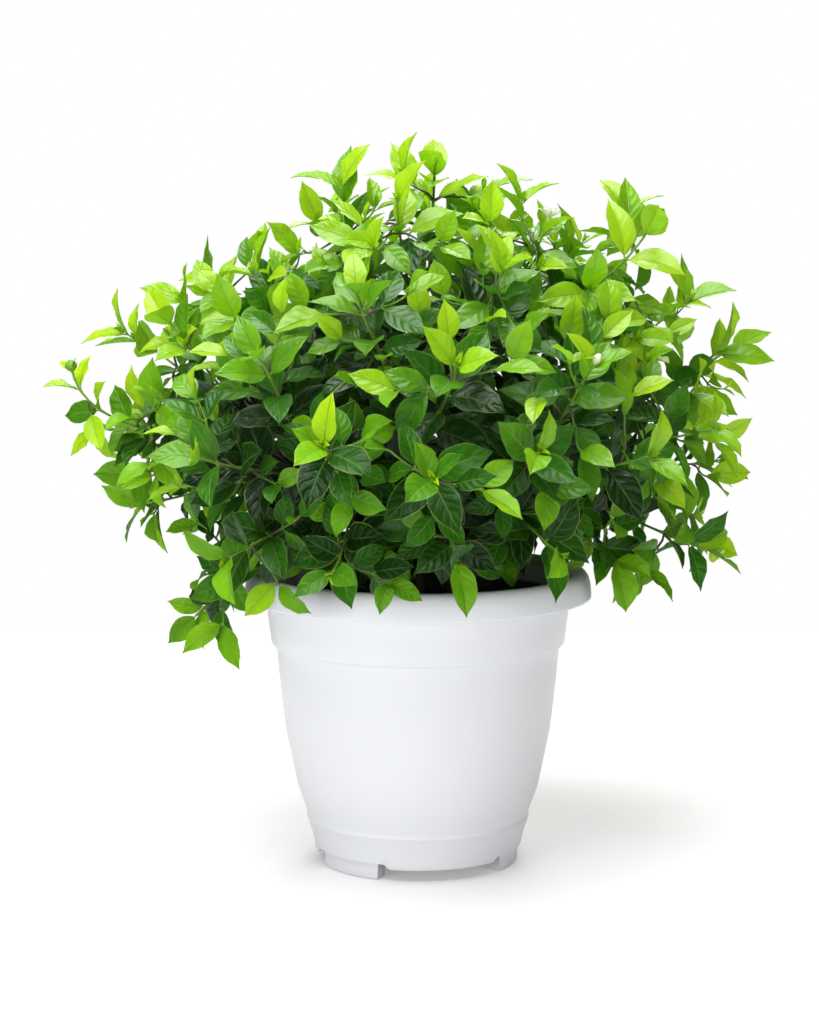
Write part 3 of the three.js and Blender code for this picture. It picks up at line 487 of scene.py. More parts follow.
def pose_leaf(shoot, pair, hand, attempt):
    draw = draws(shoot.number * 1000 + pair * 100 + (50 if hand > 0 else 0) + attempt)
    loose = LOOSE + LOOSER_EACH_TRY * attempt
    place, heading, side, other = shoot.route.station(shoot.route.length - pair_distance(shoot, pair))
    light = unit(unit(place - HEART) * LIGHT_OUT + UP * LIGHT_UP
                 + FRONT * LIGHT_FRONT * window_share(place))
    clock = shoot.clock + pair * math.pi / 2 + (0 if hand > 0 else math.pi) + draw(-loose, loose)
    outward = side * math.cos(clock) + other * math.sin(clock)
    spread = PAIR_SPREAD[pair] + draw(-loose, loose)
    ahead = unit(heading * math.cos(spread) + outward * math.sin(spread) + light * TIP_LIFT)
    flat_up = square(light - outward * 0.25, ahead)
    tilt = draw(-0.35, 0.35) * (1 + 0.3 * attempt)
    up = flat_up * math.cos(tilt) + np.cross(ahead, flat_up) * math.sin(tilt)
    tip_size = shoot.tip_size if pair == 0 else 1
    length = LEAF_LENGTH * shoot.size * tip_size * PAIR_SIZE[pair] * draw(0.88, 1.14)
    leaf = dict(pair=pair, hand=hand, root=place, ahead=ahead, up=up, across=np.cross(ahead, up),
                length=length * (1 - SHORTER_EACH_TRY * attempt))
    for name, low, high in [("breadth", 0.86, 1.08), ("bend", 0.25, 0.85), ("fold", 0.16, 0.42),
                            ("twist", -0.35, 0.35), ("wave", 0.04, 0.12), ("phase", 0, 6)]:
        leaf[name] = draw(low, high)
    return leaf


def grow_leaf(taken, shoot, pair, hand, attempts, clearance, share=BALL_SHARE):
    """Tries poses until one is clear of what has grown, and keeps it."""
    for attempt in range(attempts):
        leaf = pose_leaf(shoot, pair, hand, attempt)
        places, radii, near_twig = blade_balls(leaf, share)
        if not inside_pot(places, radii) and taken.is_clear(places, radii, near_twig, shoot.number,
                                                            clearance):
            shoot.leaves.append(leaf)
            taken.add(places, radii, shoot.number)
            return


# %% Grow the main leaves
taken = TakenSpace()
for stem in stems:
    add_route(taken, stem.route, 0, stem.route.length, STEM_RADIUS, stem.number)
for shoot in shoots:
    add_route(taken, shoot.route, 0, shoot.wood_length, BRANCH_END_RADIUS, shoot.carrier.number)
    add_route(taken, shoot.route, shoot.wood_length, shoot.route.length, TWIG_RADIUS, shoot.number)
for pair in range(max(shoot.pairs for shoot in shoots)):
    for shoot in shoots:
        for hand in (-1, 1):
            if pair < shoot.pairs:
                grow_leaf(taken, shoot, pair, hand, POSES_TRIED, CLEARANCE)
print("leaves on the main shoots:", sum(len(shoot.leaves) for shoot in shoots))

# %% [markdown]
# ## Filling the bush
#
# The fixed model holds only the main shoots. On the real plant short side twigs stand between them and
# make the bush dense, dark inside and light at its skin. A few of them form sprays that stand out of the
# bush at given places. Each of the others looks for the emptiest of several drawn spots inside
# the dome of the bush, starts from the nearest wood and grows to that spot, which spreads the leaves
# evenly. A particle system could scatter leaves faster, but they would hang on nothing. Last, the
# leaves that would hide the white between the outer shoots are taken away, because gaps in its
# outline make a bush look loose.

# %% The dome of the bush
DOME_HEART = vec(0, 0, 408)
DOME_REACH = vec(288, 282, 246)
DOME_DROP = 122
DOME_SKIN = 0.95
DOME_CORE = 0.25
LOW_OVER_LIP = 294
LOW_OVER_SOIL = 276
OVER_SOIL = 136
# Painted light and shade: besides the younger growth at the top and the skin, these numbers make leaves
# lighter at the top, the skin and the sides, and darker below and inside the bush.
YOUNGER_AND_PAINTED_LIGHT_FROM = 335
YOUNGER_AND_PAINTED_LIGHT_WITHIN = 345
OLDEST_AND_PAINTED_SHADE = 1.42
YOUNGER_AND_PAINTED_LIGHT_ABOVE = 0.68
YOUNGER_AND_PAINTED_LIGHT_AT_SKIN = 0.55
PAINTED_LIGHT_AT_SIDES = 0.38


def dome_share(place):
    """0 at the heart of the dome and 1 on its skin."""
    offset = place - DOME_HEART
    reach = DOME_REACH.copy()
    if offset[2] < 0:
        reach[2] = DOME_DROP
    return math.sqrt(((offset / reach)**2).sum())


def age_and_shade_at(place, looseness):
    """Leaves are younger at the top and the skin and older below and inside. The same number also adds
    painted light at the top, the skin and the sides, and painted shade below and inside the bush.
    """
    height = clamp((place[2] - YOUNGER_AND_PAINTED_LIGHT_FROM) / YOUNGER_AND_PAINTED_LIGHT_WITHIN)
    sideways = clamp(abs(place[0]) / DOME_REACH[0])**2
    skin = clamp(dome_share(place))**2
    # Painted light at the top, the skin and the sides, and painted shade on what is left below and inside.
    # The sides term is painted light only.
    age = OLDEST_AND_PAINTED_SHADE - YOUNGER_AND_PAINTED_LIGHT_ABOVE * height - YOUNGER_AND_PAINTED_LIGHT_AT_SKIN * skin - PAINTED_LIGHT_AT_SIDES * sideways
    return clamp(age + looseness)


# %% Wood that a side twig can start from
WOOD_STEP = 9
BARE_STEM = 55
BARE_SHOOT = 18
BARE_END = 20


def wood_rows():
    """Every place on the wood where a side twig may start: place, heading, and what it grows on."""
    rows = []
    for grown in stems + shoots:
        start = BARE_STEM if grown in stems else BARE_SHOOT
        for distance in np.arange(start, grown.route.length - BARE_END, WOOD_STEP):
            rows.append((grown.route.place(distance), grown.route.heading(distance), grown))
    return rows


WOOD = wood_rows()
WOOD_PLACES = np.array([row[0] for row in WOOD])
print("places where a side twig can start:", len(WOOD))

# %% Where a side twig ends
SPOTS_TRIED = 12


def drawn_spot(draw):
    """A drawn place inside the dome, above the lip of the pot."""
    while True:
        place = DOME_HEART + vec(draw(-1, 1), draw(-1, 1), draw(-1, 1)) * DOME_REACH
        lowest = LOW_OVER_SOIL if math.hypot(place[0], place[1]) < OVER_SOIL else LOW_OVER_LIP
        if DOME_CORE < dome_share(place) < DOME_SKIN and place[2] > lowest:
            return place


def emptiest(draw):
    spots = np.array([drawn_spot(draw) for _ in range(SPOTS_TRIED)])
    apart = ((spots[:, None] - taken.places[:taken.count])**2).sum(2)
    return spots[np.argmax(apart.min(1))]


# %% How a side twig grows
TWIG_REACH = (30, 128)
SIDE_POSES = 6
SIDE_CLEARANCE = 0.1
SIDE_BALL_SHARE = 0.33
TWIG_BARE_START = 4
LONGEST_LEAFY = 92
TWO_PAIRS_BELOW = 48
THREE_PAIRS_BELOW = 78


def grow_side_twig(number, tip, size, heading=None):
    """Grows a twig from the nearest wood to a tip. A twig of a spray is told its heading."""
    draw = draws(number * 37)
    reach = np.sqrt(((WOOD_PLACES - tip)**2).sum(1))
    reach[reach < TWIG_REACH[0]] = 1e6
    if reach.min() > (TWIG_REACH[1] if heading is None else SPRAY_REACH):
        return None
    start, start_heading, carrier = WOOD[int(np.argmin(reach))]
    straight = unit(tip - start)
    end_heading = unit(straight * 0.7 + unit(tip - HEART) * 0.8 + UP * 0.25) if heading is None else heading
    route = Route(start, unit(start_heading * 0.6 + straight), tip, end_heading, 0.3, 0.35)
    if inside_pot(route.points, TWIG_RADIUS):
        return None
    leafy = min(route.length - TWIG_BARE_START, LONGEST_LEAFY)
    pairs = 2 if leafy < TWO_PAIRS_BELOW else 3 if leafy < THREE_PAIRS_BELOW else 4
    twig = Grown(dict(pairs=pairs, leafy=leafy, size=size, tip_size=1, flower="",
                      age=age_and_shade_at(tip, draw(-0.1, 0.1))), route, number, carrier)
    twig.clock = draw(0, math.pi) if heading is None else 0
    for pair in range(pairs):
        for hand in (-1, 1):
            grow_leaf(taken, twig, pair, hand, SIDE_POSES, SIDE_CLEARANCE, SIDE_BALL_SHARE)
    return twig


def keep(twig, least):
    """Keeps a side twig that carries enough leaves, and takes up its space."""
    if twig and len(twig.leaves) >= least:
        side_twigs.append(twig)
        add_route(taken, twig.route, 0, twig.route.length, TWIG_TIP_RADIUS, twig.number)


# %% Sprays that stand out of the bush
SPRAY_REACH = 190
SPRAYS = [
    ((-74, -20, 655), (-0.35, 0, 0.9), 1.12), ((17, -10, 676), (0.2, -0.1, 1), 1),
    ((-14, -30, 664), (-0.4, -0.1, 0.9), 0.95), ((62, 0, 652), (0.1, 0, 1), 0.95),
    ((98, -20, 640), (0.3, -0.1, 0.95), 1), ((200, 0, 630), (0.2, 0, 1), 1.05),
    ((216, 20, 612), (0.7, 0, 0.7), 1), ((258, 0, 545), (0.5, -0.1, 0.85), 1),
    ((292, 20, 495), (0.9, 0, 0.45), 1.1), ((292, -20, 462), (0.95, -0.1, 0.1), 0.95),
    ((288, 0, 411), (1, 0, 0.15), 0.95), ((286, 30, 372), (1, 0, -0.05), 0.95),
    ((262, -60, 345), (0.9, -0.3, -0.2), 0.95), ((276, 30, 305), (0.9, 0, -0.35), 0.9),
    ((218, -40, 288), (0.75, -0.2, -0.6), 0.95), ((190, -60, 296), (0.5, -0.3, -0.8), 1),
    ((-214, -40, 244), (-0.6, -0.1, -0.75), 0.9), ((-186, -70, 240), (-0.4, -0.2, -0.85), 0.95),
    ((-205, -40, 285), (-0.8, -0.1, -0.4), 0.9), ((-176, -100, 288), (-0.4, -0.4, -0.7), 1),
    ((-306, -50, 424), (-1, -0.1, -0.1), 0.8), ((-262, -40, 445), (-0.9, -0.1, 0.3), 0.95),
    ((-268, -20, 380), (-1, 0, -0.05), 0.95), ((-260, 0, 338), (-0.9, 0, -0.3), 0.9),
    ((-27, -222, 304), (-0.05, -0.8, -0.5), 0.8), ((-128, -186, 296), (-0.4, -0.6, -0.6), 0.9),
    ((-226, 20, 545), (-0.5, 0, 0.85), 1), ((-284, 20, 514), (-0.8, 0, 0.6), 0.95),
]
SPRAY_NUMBERS = 60
side_twigs = []
for index, (tip, heading, size) in enumerate(SPRAYS):
    keep(grow_side_twig(SPRAY_NUMBERS + index, vec(*tip), size, unit(vec(*heading))), 1)
print("sprays:", len(side_twigs), "of", len(SPRAYS))

# %% Fill the dome
SIDE_TWIGS = 470
SIDE_NUMBERS = 100
SIDE_SIZES = (0.7, 0.98)
LEAST_LEAVES = 3

for index in range(SIDE_TWIGS):
    draw = draws((SIDE_NUMBERS + index) * 31)
    keep(grow_side_twig(SIDE_NUMBERS + index, emptiest(draw), draw(*SIDE_SIZES)), LEAST_LEAVES)
print("side twigs:", len(side_twigs), "their leaves:", sum(len(twig.leaves) for twig in side_twigs))

# %% Open spots at the outline
MID_LEAF = 25
EYE = vec(-8, -2400, 637)
# Each spot is a middle (x, z) and a radius, as the eye in front of the plant sees it
OPEN_SPOTS = [
    ((-99, 604), 15), ((-170, 574), 21), ((234, 598), 23), ((-302, 386), 13), ((-282, 356), 14),
    ((-242, 478), 13), ((-231, 284), 15), ((136, 267), 12), ((311, 460), 15), ((294, 337), 14),
    ((251, 322), 12), ((299, 534), 12)
]


def mid_leaf(leaf):
    return leaf["root"] + leaf["ahead"] * MID_LEAF


def in_open_spot(place):
    """Whether a place, seen from the front, lies in an open spot."""
    seen = EYE + (place - EYE) * EYE[1] / (EYE[1] - place[1])
    return any(math.hypot(seen[0] - x, seen[2] - z) < radius for (x, z), radius in OPEN_SPOTS)


for twig in side_twigs:
    twig.leaves = [leaf for leaf in twig.leaves if not in_open_spot(mid_leaf(leaf))]
side_twigs = [twig for twig in side_twigs if twig.leaves and not in_open_spot(twig.route.points[-1])]
print("side twigs left:", len(side_twigs), "their leaves:", sum(len(twig.leaves) for twig in side_twigs))

# %% [markdown]
# ## From skins to Blender objects
#
# Each leaf, petiole and length of wood is one closed skin of triangles. A shoot is many such skins in
# one mesh, because that is how it is handled: as a shoot. Two numbers go with every point, its age and
# a drawn tone, and one with every face, whether it is the underside of a leaf. On leaves the first
# number also holds painted light and shade: lower, and the leaf lighter, at the top, the skin and the
# sides of the bush, and higher and darker below and inside it. Materials read them back, so three leaf
# materials can colour more than two thousand different leaves.

# %% Collect skins
class Skins:
    """Closed skins in millimetres, gathered into one mesh."""

    def __init__(self):
        self.points, self.faces, self.places = [], [], []
        self.ages, self.tones, self.unders, self.slots = [], [], [], []
        self.count = 0

    def add(self, points, faces, slot, age, tone=0.5, places=None, under=None):
        """places are the leaf coordinates of the points: across and along, from 0 to 1."""
        rows = len(points)
        self.points.append(points)
        self.faces.append(faces + self.count)
        self.places.append(np.zeros((rows, 2)) if places is None else places)
        self.ages.append(np.broadcast_to(np.asarray(age, float), (rows,)))
        self.tones.append(np.full(rows, float(tone)))
        self.unders.append(np.zeros(len(faces)) if under is None else under)
        self.slots.append(np.full(len(faces), slot))
        self.count += rows

    def object(self, name, materials, sharp_degrees=50):
        faces = np.concatenate(self.faces)
        mesh = bpy.data.meshes.new(name)
        mesh.from_pydata((np.concatenate(self.points) * METRES).tolist(), [], faces.tolist())
        for material in materials:
            mesh.materials.append(material)
        mesh.polygons.foreach_set("material_index", np.concatenate(self.slots).astype(np.int32))
        mesh.shade_smooth()
        mesh.set_sharp_from_angle(angle=math.radians(sharp_degrees))
        leaf_map = mesh.uv_layers.new(name="leaf")
        leaf_map.data.foreach_set("uv", np.concatenate(self.places)[faces.ravel()].ravel())
        # The first number is each point's age, and on leaves painted light and shade as well.
        for label, domain, rows in [("age", "POINT", self.ages), ("tone", "POINT", self.tones),
                                    ("underside", "FACE", self.unders)]:
            layer = mesh.attributes.new(label, "FLOAT", domain)
            layer.data.foreach_set("value", np.concatenate(rows).astype(np.float32))
        piece = bpy.data.objects.new(name, mesh)
        bpy.context.scene.collection.objects.link(piece)
        return piece


def tell(piece, slot, *nodes):
    """Makes a piece ride on the root body, and hides the nodes of the fixed model that it stands for. The
    slot, where its finish would come from, is not used.
    """
    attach(piece, "root")
    if nodes:
        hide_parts(*nodes)


# %% Tubes
def tube_faces(rings, sides):
    """Triangles of a closed tube: its wall and its two flat ends."""
    k = np.arange(sides)
    after = (k + 1) % sides
    wall = []
    for ring in range(rings - 1):
        a, b = ring * sides + k, ring * sides + after
        wall += [np.stack([a, b, b + sides], 1), np.stack([a, b + sides, a + sides], 1)]
    fan = np.arange(1, sides - 1)
    last = (rings - 1) * sides
    zeros = np.zeros_like(fan)
    wall += [np.stack([zeros, fan + 1, fan], 1), np.stack([zeros + last, fan + last, fan + 1 + last], 1)]
    return np.concatenate(wall)


def tube_points(stations, radii, sides, clock=0.0):
    """Rings of points round stations, each a place, a heading, a side and the direction square to both."""
    angle = clock + 2 * math.pi * np.arange(sides) / sides
    rings = [place + radius * (np.cos(angle)[:, None] * side + np.sin(angle)[:, None] * other)
             for (place, heading, side, other), radius in zip(stations, radii)]
    return np.concatenate(rings)


def add_tube(skins, stations, radii, sides, slot, ages, tone=0.5):
    points = tube_points(stations, radii, sides)
    skins.add(points, tube_faces(len(stations), sides), slot, np.repeat(ages, sides), tone)


def upright(place):
    return place, UP, TO_THE_RIGHT, np.cross(UP, TO_THE_RIGHT)


# %% [markdown]
# ## A fine leaf
#
# The blade is a thin closed lens: an upper skin and a lower skin that meet in one edge, half a
# millimetre apart at the midrib. The midrib is a groove above and a ridge below, and the edge is
# ruffled. Both skins are cut into triangles alike, or they would cross where the blade is wavy. A flat
# card with a picture of a leaf on it would be lighter, but it shows as a card from the side.

# %% The grid of a blade
BLADE_STATIONS = np.array([0.04, 0.12, 0.21, 0.31, 0.41, 0.52, 0.63, 0.74, 0.84, 0.92, 0.975])
BLADE_SIDES = np.array([-1, -0.66, -0.28, 0, 0.28, 0.66, 1])
ACROSS = len(BLADE_SIDES)
ROW = 2 * ACROSS - 2


def blade_grid_faces():
    """Triangles of both skins. Points 0 and 1 are the root and the tip; each row has its upper points,
    then the lower ones, which share the two edge points of the row."""
    def upper(i, j):
        return 2 + i * ROW + j

    def lower(i, j):
        return upper(i, j) if j in (0, ACROSS - 1) else 2 + i * ROW + ACROSS + j - 1

    faces, unders = [], []
    for skin, is_under in ((upper, 0), (lower, 1)):
        rows = []
        for i in range(len(BLADE_STATIONS) - 1):
            for j in range(ACROSS - 1):
                a, b, c, d = skin(i, j), skin(i, j + 1), skin(i + 1, j + 1), skin(i + 1, j)
                rows += [(a, b, c), (a, c, d)] if j >= ACROSS // 2 else [(a, b, d), (b, c, d)]
        last = len(BLADE_STATIONS) - 1
        for j in range(ACROSS - 1):
            rows += [(0, skin(0, j + 1), skin(0, j)), (1, skin(last, j), skin(last, j + 1))]
        faces += [(a, c, b) for a, b, c in rows] if is_under else rows
        unders += [is_under] * len(rows)
    return np.array(faces), np.array(unders, float)


BLADE_FACES, BLADE_UNDERS = blade_grid_faces()
GRID_T, GRID_SIDE = np.meshgrid(BLADE_STATIONS, BLADE_SIDES, indexing="ij")
print("triangles in a leaf:", len(BLADE_FACES))

# %% Points of one blade
BLADE_HALF_THICKNESS = 0.26
MIDRIB_GROOVE = 0.5
MIDRIB_RIDGE = 0.7
RUFFLE = 0.75
POINTED_AT = 0.9
POINTED_BY = 0.13
FULLER_AT = 0.77
FULLER_BY = 0.2


def fine_width(leaf, t):
    """The half width of the blade, fuller in its outer half and with its point drawn out more."""
    pointed = 1 - POINTED_BY * np.exp(-((t - POINTED_AT) / 0.055)**2)
    fuller = 1 + FULLER_BY * np.exp(-((t - FULLER_AT) / 0.15)**2)
    return leaf["length"] * leaf["breadth"] * half_width(t) * pointed * fuller


def blade_points(leaf, thicker=1, ruffled=1):
    """Both skins of a blade, with a short ruffle of the edge on top of its long waves."""
    size = leaf["length"] / LEAF_LENGTH
    middle = blade_point(leaf, GRID_T, GRID_SIDE, fine_width(leaf, GRID_T))
    turn = leaf["bend"] * GRID_T
    outward = leaf["up"] * np.cos(turn)[..., None] + leaf["ahead"] * np.sin(turn)[..., None]
    inner = 1 - GRID_SIDE**2
    near_midrib = np.exp(-(GRID_SIDE / 0.14)**2) * (1 - 0.7 * GRID_T)
    waves = np.sin(21 * GRID_T + 2.3 * leaf["phase"] + 2 * GRID_SIDE)
    relief = RUFFLE * ruffled * size * waves * np.abs(GRID_SIDE)**2 * np.sin(np.pi * GRID_T)
    thickness = BLADE_HALF_THICKNESS * thicker * size * np.sqrt(inner)
    top = middle + outward * (thickness + relief - MIDRIB_GROOVE * size * near_midrib)[..., None]
    under = middle - outward * (thickness - relief + MIDRIB_RIDGE * size * near_midrib)[..., None]
    rows = np.concatenate([top, under[:, 1:-1]], axis=1).reshape(-1, 3)
    ends = blade_point(leaf, np.array([0.0, 1.0]), np.zeros(2), np.zeros(2))
    return np.concatenate([ends, rows])


def blade_places():
    """The leaf coordinates that go with blade_points."""
    grid = np.stack([(GRID_SIDE + 1) / 2, GRID_T], axis=2)
    rows = np.concatenate([grid, grid[:, 1:-1]], axis=1).reshape(-1, 2)
    return np.concatenate([[[0.5, 0], [0.5, 1]], rows])


BLADE_PLACES = blade_places()

# %% A leaf with its stalk
LEAF, WOOD_SLOT = 0, 1
STALK_SIDES = 5
STALK_RADII = [0.95, 0.8, 0.5, 0.25]
STALK_SHARES = [0, 1]
STALK_UNDER = [(0.03, 0.55), (0.12, 0.8)]
GREEN_WOOD = 0.05


def leaf_stalk(leaf):
    """Stations from the twig to the blade, running on under the midrib."""
    size = leaf["length"] / LEAF_LENGTH
    places = [leaf["root"] + leaf["ahead"] * (share * LEAF_STALK) for share in STALK_SHARES]
    for t, drop in STALK_UNDER:
        spine = blade_point(leaf, np.array([t]), np.zeros(1), np.zeros(1))[0]
        places.append(spine - leaf["up"] * drop * size)
    return [(place, leaf["ahead"], leaf["up"], leaf["across"]) for place in places]


def add_leaf(skins, leaf, age, tone):
    size = leaf["length"] / LEAF_LENGTH
    skins.add(blade_points(leaf), BLADE_FACES, LEAF, age, tone, BLADE_PLACES, BLADE_UNDERS)
    radii = [radius * min(size, 1.1) for radius in STALK_RADII]
    add_tube(skins, leaf_stalk(leaf), radii, STALK_SIDES, WOOD_SLOT, np.full(len(radii), GREEN_WOOD), tone)


# %% [markdown]
# ## A twig
#
# A young jasmine twig is green, slender and slightly downy, thicker where a pair of leaves stands, and
# it turns brown and woody towards its branch. It is a round tube along the route with a swelling at
# each node.

# %% A twig as a tube
TWIG_STEP = 8
NODE_SWELLING = 0.32
NODE_LENGTH = 2.2
TWIG_SINK = 4
TIP_GAP = 1.5
NODE_APART = 2.8
NODE_SHOULDER = 1.8


def twig_radius(grown, distance, base, tip):
    share = (distance - grown.wood_length) / (grown.route.length - grown.wood_length)
    radius = blend(base, tip, clamp(share))
    for pair in range(grown.pairs):
        off = (grown.route.length - pair_distance(grown, pair) - distance) / NODE_LENGTH
        radius *= 1 + NODE_SWELLING * math.exp(-off * off)
    return radius


def twig_distances(grown, start):
    nodes = [grown.route.length - pair_distance(grown, pair) for pair in range(grown.pairs)]
    evenly = np.arange(start, grown.route.length - TIP_GAP, TWIG_STEP)
    apart = [distance for distance in evenly if min(abs(distance - node) for node in nodes) > NODE_APART]
    shoulders = [node + off for node in nodes for off in (-NODE_SHOULDER, 0, NODE_SHOULDER)]
    kept = [distance for distance in shoulders if distance < grown.route.length]
    return sorted(apart + kept) + [grown.route.length]


def add_twig(skins, grown, start, base, tip, sides, start_age, tone):
    distances = twig_distances(grown, max(start, 0))
    stations = [grown.route.station(distance) for distance in distances]
    radii = [twig_radius(grown, distance, base, tip) for distance in distances[:-1]] + [0.35 * tip]
    share = (np.array(distances) - distances[0]) / (distances[-1] - distances[0])
    ages = start_age * (1 - share)**1.3
    add_tube(skins, stations, radii, sides, WOOD_SLOT, ages, tone)


# %% The newest leaves at a tip
NEWEST_SIZES = (15, 9)
NEWEST_SPREAD = 0.42


def small_blade(start, ahead, up, length, breadth, bend, fold):
    """A small leaf, petal or lobe without a stalk."""
    return dict(root=start - ahead * LEAF_STALK, ahead=ahead, up=up, across=np.cross(ahead, up),
                length=length, breadth=breadth, bend=bend, fold=fold, twist=0.15, wave=0.05, phase=length)


def add_newest(skins, grown, draw, sizes):
    """Small folded pairs that have just opened at the tip."""
    place, heading, side, other = grown.route.station(grown.route.length)
    for rank, length in enumerate(sizes):
        for hand in (0, math.pi):
            clock = grown.clock - (rank + 1) * math.pi / 2 + hand
            ahead, up = around(heading, side, other, clock, NEWEST_SPREAD * (1 - 0.4 * rank))
            leaf = small_blade(place - heading * (2 - 2 * rank), ahead, up, length * draw(0.8, 1.15), 0.75,
                               draw(0.1, 0.5), 0.75)
            skins.add(blade_points(leaf), BLADE_FACES, LEAF, 0, 0.2, BLADE_PLACES, BLADE_UNDERS)

# %% [markdown]
# ## Finishes made of nodes
#
# The colours of the plant follow from a few facts: young leaves are thin and lime green, old ones dark
# and leathery, undersides pale and matt, and light that falls through a leaf comes out yellow-green. On
# top of these, the leaves carry painted light, lighter at the top, the skin and the sides of the bush,
# and painted shade, darker below and inside it.
# Veins and mottling are used by more than one finish, so each is a node group with named sockets. They
# are worked out from the leaf's own coordinates. A photo of a leaf would give veins too, but the same
# ones on every leaf.

# %% Node helpers
def node(tree, kind, inputs=None, **settings):
    """Adds a node. An input is a number, a colour, or a socket that gives one."""
    made = tree.nodes.new(kind)
    made.location = (190 * (len(tree.nodes) % 8), -240 * (len(tree.nodes) // 8))
    for name, value in settings.items():
        setattr(made, name, value)
    for name, value in (inputs or {}).items():
        if isinstance(value, bpy.types.NodeSocket):
            tree.links.new(value, made.inputs[name])
        else:
            made.inputs[name].default_value = value
    return made


def sums(tree, operation, first, second=0.0, third=0.0):
    return node(tree, "ShaderNodeMath", {0: first, 1: second, 2: third}, operation=operation).outputs[0]


def attribute(tree, name):
    return node(tree, "ShaderNodeAttribute", attribute_name=name).outputs["Fac"]


def mixed(tree, share, first, second):
    made = node(tree, "ShaderNodeMix", {0: share, 6: first, 7: second}, data_type="RGBA")
    return made.outputs[2]


def ramp(tree, value, stops):
    """A colour ramp. Each stop is a place from 0 to 1 and its colour."""
    made = node(tree, "ShaderNodeValToRGB", {0: value})
    elements = made.color_ramp.elements
    while len(elements) < len(stops):
        elements.new(1)
    for element, (place, colour) in zip(elements, stops):
        element.position = place
        element.color = (*colour, 1)
    return made.outputs["Color"]


def smooth_step(tree, value, low, high, at_low=0.0, at_high=1.0):
    inputs = {"Value": value, "From Min": low, "From Max": high, "To Min": at_low, "To Max": at_high}
    return node(tree, "ShaderNodeMapRange", inputs, interpolation_type="SMOOTHSTEP").outputs["Result"]


# %% Groups and materials
def new_group(name, inputs, outputs):
    """An empty node group with its sockets: (label, kind, value)."""
    tree = bpy.data.node_groups.new(name, "ShaderNodeTree")
    for direction, rows in (("INPUT", inputs), ("OUTPUT", outputs)):
        for label, kind, value in rows:
            socket = tree.interface.new_socket(label, in_out=direction, socket_type="NodeSocket" + kind)
            if direction == "INPUT":
                socket.default_value = value
    return tree, tree.nodes.new("NodeGroupInput").outputs, tree.nodes.new("NodeGroupOutput").inputs


def use_group(tree, group, inputs=None):
    """Adds a node that stands for a group, and gives its outputs."""
    made = tree.nodes.new("ShaderNodeGroup")
    made.location = (190 * (len(tree.nodes) % 8), -240 * (len(tree.nodes) // 8))
    made.node_tree = group
    for name, value in (inputs or {}).items():
        made.inputs[name].default_value = value
    return made.outputs


def new_material(name):
    """A material with an empty node tree, and that tree."""
    material = bpy.data.materials.new(name)
    material.use_nodes = True
    tree = material.node_tree
    tree.nodes.clear()
    return material, tree


def finish_material(tree, shader):
    node(tree, "ShaderNodeOutputMaterial", {"Surface": shader})


# %% The veins of a leaf
VEIN_PAIRS = 5.2
VEIN_SWEEP = 0.2
VEIN_CURL = 0.07
VEIN_WANDER = 1.1
VEIN_STAGGER = 0.4
VEIN_ENDS = (0.75, 0.97)
MIDRIB_EDGE = (0.025, 0.085)
MARGIN_EDGE = (0.94, 0.985)
PILLOW = 0.85


def make_leaf_veins():
    tree, given, wanted = new_group(
        "Leaf Veins", [("Vein Width", "Float", 0.09)],
        [("Midrib", "Float", 0), ("Side Veins", "Float", 0), ("Margin", "Float", 0),
         ("Height", "Float", 0)])
    leaf_map = node(tree, "ShaderNodeUVMap", uv_map="leaf").outputs["UV"]
    place = node(tree, "ShaderNodeTexCoord").outputs["Object"]
    noise = node(tree, "ShaderNodeTexNoise", {"Vector": place, "Scale": 90, "Detail": 2}).outputs[0]
    parts = node(tree, "ShaderNodeSeparateXYZ", {"Vector": leaf_map}).outputs
    signed = sums(tree, "MULTIPLY_ADD", parts["X"], 2, -1)
    out = sums(tree, "ABSOLUTE", signed)
    swept = sums(tree, "MULTIPLY_ADD", out, -VEIN_SWEEP, parts["Y"])
    curled = sums(tree, "MULTIPLY_ADD", sums(tree, "POWER", out, 2), -VEIN_CURL, swept)
    shifted = sums(tree, "MULTIPLY", sums(tree, "LESS_THAN", signed, 0), VEIN_STAGGER)
    straight = sums(tree, "MULTIPLY_ADD", curled, VEIN_PAIRS, shifted)
    phase = sums(tree, "MULTIPLY_ADD", noise, VEIN_WANDER, straight)
    off_vein = sums(tree, "PINGPONG", phase, 0.5)
    on_vein = smooth_step(tree, off_vein, 0, given["Vein Width"], 1, 0)
    inside = smooth_step(tree, out, *VEIN_ENDS, 1, 0)
    side_veins = sums(tree, "MULTIPLY", on_vein, inside)
    midrib = smooth_step(tree, out, *MIDRIB_EDGE, 1, 0)
    pillow = sums(tree, "MULTIPLY", smooth_step(tree, off_vein, 0, 0.5), inside)
    height = sums(tree, "SUBTRACT", sums(tree, "MULTIPLY", pillow, PILLOW), midrib)
    tree.links.new(midrib, wanted["Midrib"])
    tree.links.new(side_veins, wanted["Side Veins"])
    tree.links.new(smooth_step(tree, out, *MARGIN_EDGE), wanted["Margin"])
    tree.links.new(height, wanted["Height"])
    return tree


LEAF_VEINS = make_leaf_veins()

# %% Mottling
def make_mottle():
    tree, given, wanted = new_group("Mottle", [("Scale", "Float", 60), ("Detail", "Float", 3)],
                                    [("Shade", "Float", 0)])
    place = node(tree, "ShaderNodeTexCoord").outputs["Object"]
    noise = node(tree, "ShaderNodeTexNoise", {"Vector": place, "Scale": given["Scale"],
                                              "Detail": given["Detail"], "Roughness": 0.6})
    tree.links.new(smooth_step(tree, noise.outputs[0], 0.25, 0.75), wanted["Shade"])
    return tree


MOTTLE = make_mottle()

